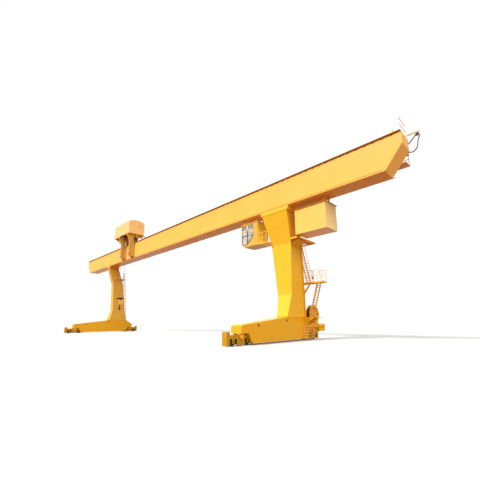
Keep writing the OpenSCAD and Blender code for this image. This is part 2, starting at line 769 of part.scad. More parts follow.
// seat line of what stands against the back of a leg, from low to high
function back_seat(z0, z1, z2) = [for (z = [z0, z1, z2]) [leg_back(z) + run_gap, z]];
module near_haunches() {
    core = near_x - plate_over + run_gap;
    color(yellow) put() {
        xz(upper_y0 + 170, leg_back(lower_z) - plate_t - 20) polygon([[core + near_half(haunch_z), haunch_z],
            [core + near_half(lower_z), lower_z], [upper_x1 - 60, lower_z], [upper_x1 - 60, lower_z - rim]]);
        for (x = [near_x - 520, near_x - 60]) yz(x, x + 120)
            polygon(concat(back_seat(haunch_z, haunch_mid_z, lower_z - rim),
                           [[back_y, lower_z], [upper_y2 - 40, lower_z], [upper_y2 - 40, lower_z - rim]]));
    }
}
far_low = far_z - deck_t;
far_side_x = far_x + far_half(far_low) + run_gap;
far_x1 = far_x + 370;
far_y1 = leg_back(far_low) + run_gap;
far_y2 = far_y1 + far_deck_d;
module far_upper_platform() {
    color(yellow) put() translate([0, 0, far_low]) linear_extrude(deck_t)
        polygon([[far_side_x, 690], [far_x1, 690], [far_x1, far_y2], [far_x - 320, far_y2],
                 [far_x - 320, far_y1], [far_side_x, far_y1]]);
}
module far_corbels() {
    z0 = far_low - 200;
    core = far_x - plate_over + run_gap;
    color(yellow) put() {
        for (x = [far_x - 190, far_x + 150]) yz(x - 6, x + 6)
            polygon([[leg_back(z0) + run_gap, z0], [far_y1, far_low], [far_y2 - 20, far_low],
                     [far_y2 - 20, far_low - 40]]);
        for (y = [740, 980]) xz(y, y + 12)
            polygon([[core + far_half(far_low), far_low], [far_x1 - 10, far_low],
                     [far_x1 - 10, far_low - 40], [core + far_half(z0), z0]]);
    }
}
mid_x0 = near_x - 200;
mid_x1 = near_x + 1400;
mid_rim = 56;
mid_low = mid_z - deck_t - mid_rim;
mid_y0 = leg_back(mid_low) + run_gap;
mid_y1 = stair_y0 + stair_w + 20;
module mid_platform() {
    color(yellow) put() difference() {
        block(mid_x0, mid_x1, mid_y0, mid_y1, mid_low, mid_z);
        block(mid_x0 + 8, mid_x1 - 8, mid_y0 + 8, mid_y1 - 8, mid_low - 1, mid_z - deck_t);
    }
}
module mid_struts() {
    z0 = bend_z2 + 30;
    w = near_half(z0);
    y0 = leg_back(z0) + run_gap;
    color(yellow) put() {
        xz(y0, y0 + 40) polygon([[near_x + w - 100, z0], [near_x + w - 40, z0], [near_x + 740, mid_low],
                                 [near_x + 660, mid_low], [near_x + w - 100, z0 + 90]]);
        block(near_x + 630, near_x + 770, y0 - 20, y0 + 60, mid_low, mid_z - deck_t);
        for (x = [near_x - 180, near_x + 60]) yz(x, x + 12)
            polygon([[mid_y0, mid_low], [mid_y0 + 4, mid_z - deck_t], [mid_y1 - 40, mid_z - deck_t],
                     [mid_y1 - 40, mid_low], [leg_back(mid_low - 220) + run_gap, mid_low - 220]]);
    }
}
gate_x0 = near_x + 760;
gate_x1 = near_x + 1010;
module mid_railing() {
    y1 = mid_y1 - 10;
    color(yellow) put() {
        fence([mid_x0 + 20, y1], [gate_x0 - 40, y1], 3, mid_z, mid_z + rail_height, 16);
        fence([gate_x1 + 60, y1], [mid_x1 - 10, y1], 1, mid_z, mid_z + rail_height, 16);
        fence([near_x + 650, mid_y0 + 12], [mid_x1 - 10, mid_y0 + 12], 3, mid_z, mid_z + rail_height, 16);
    }
}
// flight between two points in X and Z, climbing from p to q, its strings cut level at both ends
string_w = 52;
string_t = 14;
hand_out = 150;
function string_half(p, q) = string_w / 2 * norm(q - p) / (q[1] - p[1]);
module flight(p, q, y0, n) {
    d = q - p;
    h = string_half(p, q);
    side = -sign(d[0]);
    y1 = y0 + stair_w;
    for (y = [y0, y1 - string_t]) xz(y, y + string_t)
        polygon([[p[0] - h, p[1]], [p[0] + h, p[1]], [q[0] + h, q[1]], [q[0] - h, q[1]]]);
    for (i = [1:n]) {
        c = p + d * i / (n + 1);
        block(c[0] - 55, c[0] + 55, y0 + string_t + run_gap, y1 - string_t - run_gap, c[1] - 7, c[1] + 7);
    }
    // handrail on the outer string, on the climber's side
    for (t = [0.08, 0.5, 0.92]) {
        c = p + d * t;
        block(min(c[0], c[0] + side * hand_out), max(c[0], c[0] + side * hand_out),
              y1 - string_t, y1, c[1] - 8, c[1] + 8);
    }
    xz(y1 - string_t, y1) translate([side * hand_out, 0])
        polygon([p + d * 0.06 - [9, 0], p + d * 0.06 + [9, 0], p + d * 0.94 + [9, 0], p + d * 0.94 - [9, 0]]);
}
upper_p = [near_x + 560, mid_z + run_gap];
upper_q = [hatch_x0 + run_gap + 27, upper_z];
module upper_flight() {
    color(yellow) put() flight(upper_p, upper_q, stair_y0, 15);
}
lane_y0 = mid_y1 + run_gap;
lower_p = [near_x + 380, beam_top + run_gap];
lower_q = [near_x + 900, mid_z];
module lower_flight() {
    color(yellow) put() flight(lower_p, lower_q, lane_y0, 13);
}
module stair_landing() {
    color(yellow) put() block(near_x + beam_w / 2 + 24 + run_gap, near_x + 820,
                              stair_y0 - 60, lane_y0 + stair_w + 30, beam_top - 24, beam_top);
}
module landing_brackets() {
    h = near_x + beam_w / 2 + run_gap;
    color(yellow) put() for (y = [stair_y0 - 40, cap_y1 + 60]) translate([0, y, 0]) xz(-8, 8)
        polygon([[h, beam_top - 236], [h + 24, beam_top - 24], [near_x + 800, beam_top - 24],
                 [near_x + 800, beam_top - 70], [h, beam_top - 395]]);
}
// ladder from p to q in Y and Z, rungs along X
rail_d = 40;
module ladder(x, w, p, q, n) {
    for (s = [-1, 1]) yz(x + s * w / 2 - 10, x + s * w / 2 + 10)
        polygon([p, p + [rail_d, 0], q + [rail_d, 0], q]);
    for (i = [1:n]) {
        c = p + (q - p) * i / (n + 1);
        block(x - w / 2 + 10, x + w / 2 - 10, c[0] + 10, c[0] + rail_d - 10, c[1] - 10, c[1] + 10);
    }
}
ladder_y0 = foot_y0 + foot_d + 70;
ladder_lean = (ladder_y0 - far_y2 - 15) / (far_z - beam_top);
function ladder_y(z) = ladder_y0 - ladder_lean * (z - beam_top);
ladder_top = far_z + 675;
ladder_w = 300;
module far_ladder() {
    color(yellow) put()
        ladder(far_x, ladder_w, [ladder_y0, beam_top], [ladder_y(ladder_top), ladder_top], 27);
}
module far_ladder_clips() {
    color(yellow) put() for (z = [mid_z, (mid_z + far_z) / 2]) for (s = [-1, 1])
        block(far_x + s * ladder_w / 2 - 8, far_x + s * ladder_w / 2 + 8,
              leg_back(z) + run_gap, ladder_y(z) - run_gap, z, z + 40);
}
module beam_steps() {
    x = near_x + beam_w / 2;
    y0 = 1490;
    y1 = 2330;
    reach = 110;
    rise = 122;
    color(yellow) put() {
        for (y = [y0, y1]) block(x, x + reach, y, y + 20, 60, 640);
        for (z = [110:rise:110 + 4 * rise])
            block(x + run_gap, x + reach, y0 + 20 + run_gap, y1 - run_gap, z, z + 16);
    }
}

// trolley
tx = trolley_x;
arm_x = [tx - 450, tx - 450 + arm_pitch];
hook_x = tx + 50;
deck_z = girder_top + deck_h;
hood_x0 = tx - 1500;
hood_x1 = hood_x0 + hood_l;
hood_y1 = hood_y0 + hood_d;
trolley_wheel_r = trolley_wheel_d / 2;
trolley_axle_z = rail_top + trolley_wheel_r + 0.3;
drum_r = sheave_d / 2 - rope_d / 2 - 0.5;
drum_z = deck_z + 400;
module trolley_deck() {
    color(yellow) put() {
        block(hood_x0, hood_x1, hood_y0 + 520, hood_y1, deck_z, deck_z + 55);
        block(hood_x0, hook_x - 380, hood_y0, hood_y0 + 520, deck_z, deck_z + 55);
        block(hook_x + 380, hood_x1, hood_y0, hood_y0 + 520, deck_z, deck_z + 55);
    }
}
module trolley_beams() {
    color(yellow) put() {
        block(hood_x0 + 60, hood_x1 - 60, rail_y - 90, rail_y + 90, deck_z - 160, deck_z);
        for (x = arm_x) block(x - 90, x + 90, hood_y0 + 10, hood_y1 - 20, deck_z - 160, deck_z);
    }
}
module arm_posts() {
    color(yellow) put() for (x = arm_x) yz(x - 70, x + 70)
        polygon([[hood_y0 + 20, deck_z - 160], [-80, deck_z - 160], [-80, girder_bottom + 160],
                 [-290, girder_bottom + 160], [-430, girder_bottom + 330], [-430, deck_z - 560]]);
    color(yellow) put() for (x = arm_x) {
        block(x - 60, x + 60, -250, -160, girder_bottom + 14, girder_bottom + 160);
        block(x - 60, x + 60, -160, -30, girder_bottom + 14, girder_bottom + 40 - run_gap);
    }
}
module trolley_gussets() {
    color(yellow) put() for (y = [-430, -110]) xz(y, y + 14)
        polygon([[hood_x0 + 70, deck_z], [hood_x0 + 70, deck_z - 60], [arm_x[0] - 70, deck_z - 640],
                 [arm_x[0] - 70, deck_z - 160], [arm_x[0] - 90, deck_z - 160], [arm_x[0] - 90, deck_z]]);
}
module reaction_rollers() {
    color(dark) put() for (x = arm_x) translate([x, -16 - 0.3 - 66, 0]) {
        translate([0, 0, girder_bottom + 65]) cylinder(h = 80, r = 66);
        translate([0, -14, girder_bottom + 40]) cylinder(h = 120, r = 22);
    }
}
module wheel_carriages() {
    color(yellow) put() for (x = arm_x) difference() {
        union() {
            for (y = [rail_y - 75, rail_y + 55])
                block(x - 170, x + 170, y, y + 20, trolley_axle_z - 70, deck_z - 160);
            block(x - 170, x + 170, rail_y - 55, rail_y + 55,
                  trolley_axle_z + trolley_wheel_r + 20, deck_z - 160);
        }
        ycyl(x, rail_y - 90, rail_y + 90, trolley_axle_z, 24 + run_gap);
    }
}
module trolley_wheel(x) {
    color(steel) put() {
        ycyl(x, rail_y - 28, rail_y + 28, trolley_axle_z, trolley_wheel_r);
        for (y = [-42, 28]) ycyl(x, rail_y + y, rail_y + y + 14, trolley_axle_z, trolley_wheel_r + 14);
        ycyl(x, rail_y - 80, rail_y + 80, trolley_axle_z, 24);
    }
}
module trolley_wheel_1() {
    trolley_wheel(arm_x[0]);
}
module trolley_wheel_2() {
    trolley_wheel(arm_x[1]);
}
module travel_motor() {
    x = arm_x[1];
    color(dark) put() {
        block(x + 170, x + 290, rail_y - 60, rail_y + 60, trolley_axle_z + 40, trolley_axle_z + 220);
        ycyl(x + 236, rail_y - 250, rail_y - 60, trolley_axle_z + 130, 62);
    }
}
module hoist_drum() {
    yc = hook_y;
    color(steel) put() {
        xcyl(hook_x - 380, hook_x + 380, yc, drum_z, drum_r);
        for (x = [hook_x - 400, hook_x + 380]) xcyl(x, x + 20, yc, drum_z, drum_r + 26);
        xcyl(hook_x - 469, hook_x + 469, yc, drum_z, 40);
    }
}
module drum_stands() {
    yc = hook_y;
    color(yellow) put() difference() {
        for (x = [hook_x - 470, hook_x + 430]) yz(x, x + 40)
            polygon([[yc - 120, deck_z + 55], [yc - 70, drum_z + 70],
                     [yc + 70, drum_z + 70], [yc + 200, deck_z + 55]]);
        xcyl(hook_x - 480, hook_x + 480, yc, drum_z, 40 + run_gap);
    }
}
module hoist_motor() {
    color(dark) put() {
        block(hook_x + 470, hook_x + 700, hook_y - 100, hook_y + 460, deck_z + 55, drum_z + 120);
        xcyl(hook_x - 60, hook_x + 470, hook_y + 370, deck_z + 260, 130);
    }
}
module tow_arm() {
    color(yellow) put() {
        block(tx + 1120, tx + 1180, hood_y1, festoon_y + 20, deck_z, deck_z + 50);
        block(tx + 1120, tx + 1180, festoon_y - 20, festoon_y + 20, festoon_z + 48, deck_z);
    }
}

// hood over the hoist
hood_base = deck_z + 55;
hood_t = 10;
roof_fn = 720;
hood_top = hood_base + hood_h;
hood_mid = (hood_y0 + hood_y1) / 2;
hood_c = hood_d / 2;
hood_r = (hood_c * hood_c + hood_rise * hood_rise) / (2 * hood_rise);
module hood_front_panel() {
    color(yellow) put() block(hood_x0, hood_x1, hood_y0, hood_y0 + hood_t, hood_base, hood_top);
}
module hood_back_panel() {
    color(yellow) put() block(hood_x0, hood_x1, hood_y1 - hood_t, hood_y1, hood_base, hood_top);
}
module hood_roof() {
    color(yellow) put() yz(hood_x0, hood_x1) intersection() {
        difference() {
            translate([hood_mid, hood_top + hood_rise - hood_r]) circle(r = hood_r, $fn = roof_fn);
            translate([hood_mid, hood_top + hood_rise - hood_r]) circle(r = hood_r - hood_t, $fn = roof_fn);
        }
        translate([hood_y0, hood_top]) square([hood_d, hood_rise + 10]);
    }
}
module hood_end_panels() {
    color(yellow) put() for (x = [hood_x0, hood_x1 - hood_t]) yz(x, x + hood_t) {
        translate([hood_y0 + hood_t, hood_base]) square([hood_d - 2 * hood_t, hood_h]);
        intersection() {
            translate([hood_mid, hood_top + hood_rise - hood_r])
                circle(r = hood_r - hood_t - 0.2, $fn = roof_fn);
            translate([hood_y0 + hood_t, hood_top - 1]) square([hood_d - 2 * hood_t, hood_rise]);
        }
    }
}

// ropes and hook
sheave_r = sheave_d / 2;
groove_r = sheave_r - rope_d / 2 - 0.5;
groove_depth = 22;
sheave_x = 60;
cheek_x = 92;
cheek_half = 290;
cheek_r = 400;
pin_half = 30;
head_z1 = hook_z - 280;
head_z0 = head_z1 - 60;
shank_r = 32;
hook_ring = 105;
hook_bar = 42;
module ropes() {
    color(dark) put() for (x = [hook_x - sheave_x, hook_x + sheave_x]) for (s = [-1, 1])
        translate([x, hook_y + s * sheave_r, hook_z]) cylinder(h = drum_z - hook_z, r = rope_d / 2, $fn = 12);
}
module hook_sheaves() {
    r = groove_r + groove_depth;
    color(dark) put() difference() {
        for (x = [hook_x - sheave_x, hook_x + sheave_x]) translate([x, hook_y, hook_z]) rotate([0, 90, 0])
            rotate_extrude($fn = 72) polygon([[0, -24], [r, -24], [r, -20], [groove_r, -8], [groove_r, 8],
                                              [r, 20], [r, 24], [0, 24]]);
        xcyl(hook_x - cheek_x, hook_x + cheek_x, hook_y, hook_z, pin_half);
    }
}
// side plates with an arched top, the pin, and the head that the hook turns in
module hook_block() {
    color(yellow) put() {
        for (x = [-cheek_x - 12, cheek_x]) yz(hook_x + x, hook_x + x + 12) intersection() {
            translate([hook_y, hook_z + cheek_rise - cheek_r]) circle(r = cheek_r, $fn = 96);
            polygon([[hook_y - cheek_half, hook_z + cheek_rise], [hook_y + cheek_half, hook_z + cheek_rise],
                     [hook_y + cheek_half, hook_z + 60], [hook_y + 250, hook_z - 10],
                     [hook_y + 110, head_z0], [hook_y - 110, head_z0], [hook_y - 250, hook_z - 10],
                     [hook_y - cheek_half, hook_z + 60]]);
        }
        xcyl(hook_x - cheek_x, hook_x + cheek_x, hook_y, hook_z, pin_half);
        difference() {
            block(hook_x - cheek_x, hook_x + cheek_x, hook_y - 100, hook_y + 100, head_z0, head_z1);
            translate([hook_x, hook_y, head_z0 - 1]) cylinder(h = head_z1 - head_z0 + 2, r = shank_r + 0.05);
        }
    }
}
module hook() {
    top_z = head_z0 - 170;
    color(dark) put() translate([hook_x, hook_y, 0]) {
        translate([0, 0, top_z]) cylinder(h = head_z1 - top_z + 18, r = shank_r);
        translate([0, 0, head_z1 + run_gap]) cylinder(h = 17, r = 46);
        translate([0, 0, head_z0 - 60]) cylinder(h = 54, r = 50);
        translate([0, 0, top_z - 5]) cylinder(h = 125, r1 = hook_bar, r2 = 50);
        translate([0, 0, top_z - 38 - hook_ring]) rotate([90, 0, 0]) {
            rotate([0, 0, 180]) rotate_extrude(angle = 180)
                translate([hook_ring, 0]) circle(r = hook_bar, $fn = 24);
            rotate([0, 0, 90]) rotate_extrude(angle = 90)
                translate([hook_ring, 0]) circle(r = hook_bar, $fn = 24);
            translate([hook_ring, 0, 0]) rotate([-90, 0, 0])
                cylinder(h = 80, r1 = hook_bar, r2 = 16, $fn = 24);
        }
    }
}

// sub-parts made of several pieces
module girder_webs() {
    girder_front_web();
    reaction_rail();
    girder_back_web();
}
module girder_flanges() {
    girder_top_flange();
    flange_brackets();
    girder_bottom_flange();
}
module rails_and_stops() {
    trolley_rail();
    end_stops();
}
module junction_boxes() {
    junction_box();
    feed_box();
}
module railings() {
    walkway_railing();
    girder_end_rail();
    mid_railing();
    balcony_railing();
}
module roofs() {
    room_roof();
    cab_roof();
}
module hangers() {
    room_hangers();
    cab_hangers();
}
module cab_side_walls() {
    cab_front_wall();
    cab_back_wall();
}
module cab_end_walls() {
    cab_left_wall();
    cab_raked_sill();
    cab_right_wall();
}
module upper_platforms() {
    near_upper_platform();
    near_haunches();
    far_upper_platform();
    far_corbels();
}
module stair_platforms() {
    mid_platform();
    mid_struts();
    stair_landing();
    landing_brackets();
}
module ladders() {
    far_ladder();
    far_ladder_clips();
    beam_steps();
}
module trolley_motors() {
    travel_motor();
    hoist_motor();
}
module hood_side_panels() {
    hood_front_panel();
    hood_back_panel();
}
module back_walkway() {
    walkway_deck();
    walkway_brackets();
}
module festoon_rail() {
    festoon_channel();
    festoon_brackets();
    festoon_carriers();
}
module cab_floor() {
    cab_base();
    cab_balcony();
}
module trolley_arms() {
    arm_posts();
    trolley_gussets();
}
module cable_reel() {
    reel_drum();
    reel_cable();
}
module trolley_frame() {
    trolley_deck();
    trolley_beams();
    wheel_carriages();
    drum_stands();
    tow_arm();
}

girder_webs();
girder_flanges();
girder_end_plates();
rails_and_stops();
near_leg();
far_leg();
near_saddle_beam();
far_saddle_beam();
near_front_bogie();
near_back_bogie();
far_front_bogie();
far_back_bogie();
near_wheel_1();
near_wheel_2();
near_wheel_3();
near_wheel_4();
far_wheel_1();
far_wheel_2();
far_wheel_3();
far_wheel_4();
reel_frame();
cable_reel();
junction_boxes();
back_walkway();
railings();
festoon_rail();
festoon_cable();
electrical_room();
roofs();
hangers();
cab_floor();
cab_side_walls();
cab_end_walls();
cab_glass();
upper_platforms();
stair_platforms();
upper_flight();
lower_flight();
ladders();
trolley_frame();
trolley_arms();
reaction_rollers();
trolley_wheel_1();
trolley_wheel_2();
trolley_motors();
hoist_drum();
hood_side_panels();
hood_end_panels();
hood_roof();
ropes();
hook_sheaves();
hook_block();
hook();
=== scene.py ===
import math

import bmesh
import bpy
from mathutils import Matrix, Vector


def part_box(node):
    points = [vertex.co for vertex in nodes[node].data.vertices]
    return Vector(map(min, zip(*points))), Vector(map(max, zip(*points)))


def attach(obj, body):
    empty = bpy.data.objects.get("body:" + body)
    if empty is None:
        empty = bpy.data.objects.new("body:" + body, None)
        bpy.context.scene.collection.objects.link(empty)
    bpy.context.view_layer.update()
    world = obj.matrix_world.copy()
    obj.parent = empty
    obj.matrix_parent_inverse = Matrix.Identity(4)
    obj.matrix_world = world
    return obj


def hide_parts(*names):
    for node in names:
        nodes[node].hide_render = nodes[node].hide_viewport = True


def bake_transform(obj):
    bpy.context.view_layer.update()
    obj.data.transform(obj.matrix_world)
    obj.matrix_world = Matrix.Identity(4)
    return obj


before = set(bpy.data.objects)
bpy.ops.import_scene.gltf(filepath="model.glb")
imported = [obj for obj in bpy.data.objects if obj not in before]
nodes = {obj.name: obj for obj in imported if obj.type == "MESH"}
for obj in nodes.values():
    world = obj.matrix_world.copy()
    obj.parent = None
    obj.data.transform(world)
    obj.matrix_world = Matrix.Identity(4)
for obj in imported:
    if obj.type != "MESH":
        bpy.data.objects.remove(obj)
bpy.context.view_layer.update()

# Details are placed in millimetres of the half-scale crane: x along the girder from its middle towards
# the cab leg, y back from the front web, z up from the floor. at() turns such a point into the frame.
web_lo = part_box("girder_webs")[0]
leg_lo, leg_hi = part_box("near_leg")
HALF_SPAN = 10000
RAIL_PAD = 16
ORIGIN = Vector(((leg_lo.x + leg_hi.x) / 2 - HALF_SPAN / 1000, web_lo.y + RAIL_PAD / 1000, 0))


def at(x, y, z):
    return Vector((x, y, z)) / 1000 + ORIGIN


def span(node):
    """Lowest and highest corner of a node, in millimetres of the crane."""
    low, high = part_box(node)
    return (low - ORIGIN) * 1000, (high - ORIGIN) * 1000


near_x, far_x = HALF_SPAN, -HALF_SPAN
girder_lo, girder_hi = span("girder_flanges")
end_far, end_near = girder_lo.x, girder_hi.x
girder_bottom, girder_top = girder_lo.z, girder_hi.z
girder_width = span("girder_webs")[1].y
flange_y0, flange_y1 = girder_lo.y, girder_hi.y
beam_lo, beam_hi = span("near_saddle_beam")
BEAM_EDGE = 24
beam_half = (beam_hi.x - beam_lo.x) / 2 - BEAM_EDGE
beam_top = beam_hi.z
wheel_lo, wheel_hi = span("near_wheel_1")
wheel_r = (wheel_hi.z - wheel_lo.z) / 2
block_hi = span("hook_block")[1]
cab_lo, cab_hi = span("cab_side_walls")
room_lo, room_hi = span("electrical_room")
hood_lo, hood_hi = span("hood_side_panels")
RAIL_Y = 120


# Camera: eye in metres of the frame, angles in radians, focal length in pixels
EYE = Vector((17.849, -10.650, 0.909))
YAW, PITCH, ROLL = 0.783, 0.211, -0.009
FOCAL_PX = 288.27
FRAME_PX = 480
AXIS_PY = 259


def make_camera():
    data = bpy.data.cameras.new("camera")
    data.sensor_width = 36
    data.lens = FOCAL_PX / FRAME_PX * data.sensor_width
    data.shift_y = (AXIS_PY - FRAME_PX / 2) / FRAME_PX
    data.clip_end = 500
    camera = bpy.data.objects.new("camera", data)
    forward = Vector((-math.sin(YAW) * math.cos(PITCH), math.cos(YAW) * math.cos(PITCH), math.sin(PITCH)))
    level = Vector((math.cos(YAW), math.sin(YAW), 0))
    up = level.cross(forward)
    right = math.cos(ROLL) * level + math.sin(ROLL) * up
    up = right.cross(forward)
    camera.matrix_world = Matrix.Translation(EYE) @ Matrix((right, up, -forward)).transposed().to_4x4()
    bpy.context.collection.objects.link(camera)
    bpy.context.scene.camera = camera


make_camera()


# Materials
def new_material(name):
    """The material, its nodes, its links and its shader."""
    material = bpy.data.materials.new(name)
    material.use_nodes = True
    tree = material.node_tree
    return material, tree.nodes, tree.links, tree.nodes["Principled BSDF"]


def noise(n, link, source, scale, detail, stretch=None):
    """Noise over the object's own coordinates, in metres."""
    if stretch:
        mapping = n.new("ShaderNodeMapping")
        mapping.inputs["Scale"].default_value = stretch
        link.new(source, mapping.inputs["Vector"])
        source = mapping.outputs["Vector"]
    made = n.new("ShaderNodeTexNoise")
    made.inputs["Scale"].default_value = scale
    made.inputs["Detail"].default_value = detail
    link.new(source, made.inputs["Vector"])
    return made.outputs["Fac"]


def ramp(n, link, factor, low, high, colour_low, colour_high):
    made = n.new("ShaderNodeValToRGB")
    first, last = made.color_ramp.elements
    first.position, last.position = low, high
    first.color, last.color = list(colour_low) + [1], list(colour_high) + [1]
    link.new(factor, made.inputs["Fac"])
    return made.outputs["Color"]


def blend_colour(n, link, factor, a, b):
    made = n.new("ShaderNodeMix")
    made.data_type = "RGBA"
    link.new(factor, made.inputs["Factor"])
    for name, value in (("A", a), ("B", b)):
        if isinstance(value, tuple):
            made.inputs[name].default_value = value + (1,)
        else:
            link.new(value, made.inputs[name])
    return made.outputs["Result"]


def roughness(n, link, shader, factor, low, high):
    made = n.new("ShaderNodeMapRange")
    made.inputs["To Min"].default_value = low
    made.inputs["To Max"].default_value = high
    link.new(factor, made.inputs["Value"])
    link.new(made.outputs["Result"], shader.inputs["Roughness"])


def bump(n, link, shader, height, strength, distance):
    made = n.new("ShaderNodeBump")
    made.inputs["Strength"].default_value = strength
    made.inputs["Distance"].default_value = distance
    link.new(height, made.inputs["Height"])
    link.new(made.outputs["Normal"], shader.inputs["Normal"])


def above(n, link, source, axis, level, soft):
    """1 where the object coordinate along axis passes level, in metres of the frame, else 0."""
    split = n.new("ShaderNodeSeparateXYZ")
    link.new(source, split.inputs["Vector"])
    made = n.new("ShaderNodeMapRange")
    made.inputs["From Min"].default_value = level - soft
    made.inputs["From Max"].default_value = level + soft
    link.new(split.outputs[axis], made.inputs["Value"])
    return made.outputs["Result"]


GRIME = (0.22, 0.12, 0.04)
RUST = (0.16, 0.06, 0.025)


def paint(name, colour, rough=0.40, dirt=0.06, rust=0.0, band=None, shine=0.16):
    """Sprayed paint: a cloudy tone, thin runs of dirt, chips of rust where worn, and orange peel.
    band = (axis, level, colour) paints what lies past level along axis in a second colour."""
    material, n, link, shader = new_material(name)
    where = n.new("ShaderNodeTexCoord").outputs["Object"]
    cloud = noise(n, link, where, 0.9, 6)
    tone = ramp(n, link, cloud, 0.30, 0.65, [c * 0.94 for c in colour], colour)
    run = noise(n, link, where, 1.6, 8, (7.0, 7.0, 0.35))
    mask = ramp(n, link, run, 0.56, 0.85, (0, 0, 0), (dirt, dirt, dirt))
    out = blend_colour(n, link, mask, tone, GRIME)
    if rust:
        speck = noise(n, link, where, 9, 10)
        spots = ramp(n, link, speck, 0.60, 0.72, (0, 0, 0), (rust, rust, rust))
        out = blend_colour(n, link, spots, out, RUST)
    if band:
        axis, level, second = band
        out = blend_colour(n, link, above(n, link, where, axis, level, 0.001), out, second)
    link.new(out, shader.inputs["Base Color"])
    shader.inputs["Specular IOR Level"].default_value = shine
    roughness(n, link, shader, cloud, rough - 0.06, rough + 0.12)
    bump(n, link, shader, noise(n, link, where, 60, 3), 0.08, 0.01)
    return material


def metal(name, colour, rough=0.4, metallic=0.9, scale=20.0, dark=0.55):
    """Bare, cast or blackened steel with a mottled sheen."""
    material, n, link, shader = new_material(name)
    shader.inputs["Metallic"].default_value = metallic
    where = n.new("ShaderNodeTexCoord").outputs["Object"]
    mottle = noise(n, link, where, scale, 8)
    tone = ramp(n, link, mottle, 0.35, 0.68, [c * dark for c in colour], colour)
    link.new(tone, shader.inputs["Base Color"])
    roughness(n, link, shader, mottle, rough - 0.1, rough + 0.2)
    bump(n, link, shader, mottle, 0.15, 0.004)
    return material


def tread_plate(name, colour):
    """Painted deck plate with raised diagonal lozenges, worn to bare metal on their tops."""
    material, n, link, shader = new_material(name)
    where = n.new("ShaderNodeTexCoord").outputs["Object"]
    mapping = n.new("ShaderNodeMapping")
    mapping.inputs["Rotation"].default_value = (0, 0, math.radians(45))
    mapping.inputs["Scale"].default_value = (34, 34, 34)
    link.new(where, mapping.inputs["Vector"])
    checks = n.new("ShaderNodeTexVoronoi")
    checks.inputs["Scale"].default_value = 1.0
    checks.inputs["Randomness"].default_value = 0.0
    link.new(mapping.outputs["Vector"], checks.inputs["Vector"])
    studs = ramp(n, link, checks.outputs["Distance"], 0.18, 0.30, (1, 1, 1), (0, 0, 0))
    wear = noise(n, link, where, 5, 6)
    tone = ramp(n, link, wear, 0.35, 0.7, [c * 0.7 for c in colour], colour)
    worn = tuple(min(1, c * 1.15) for c in colour)
    link.new(blend_colour(n, link, studs, tone, worn), shader.inputs["Base Color"])
    roughness(n, link, shader, wear, 0.4, 0.65)
    bump(n, link, shader, studs, 0.4, 0.004)
    return material


def glass_pane(name, low_colour, high_colour, level):
    """Dusty panes with painted reflections: bright below the transom and blue-grey above it."""
    material, n, link, shader = new_material(name)
    shader.inputs["IOR"].default_value = 1.45
    shader.inputs["Transmission Weight"].default_value = 0.25
    where = n.new("ShaderNodeTexCoord").outputs["Object"]
    dust = noise(n, link, where, 5, 6)
    streak = noise(n, link, where, 3.0, 4, (1.0, 1.0, 3.0))
    low = ramp(n, link, streak, 0.40, 0.60, [c * 0.62 for c in low_colour], low_colour)
    high = ramp(n, link, streak, 0.40, 0.60, [c * 0.8 for c in high_colour], high_colour)
    both = blend_colour(n, link, above(n, link, where, "Z", level, 0.002), low, high)
    link.new(both, shader.inputs["Base Color"])
    roughness(n, link, shader, dust, 0.05, 0.2)
    return material


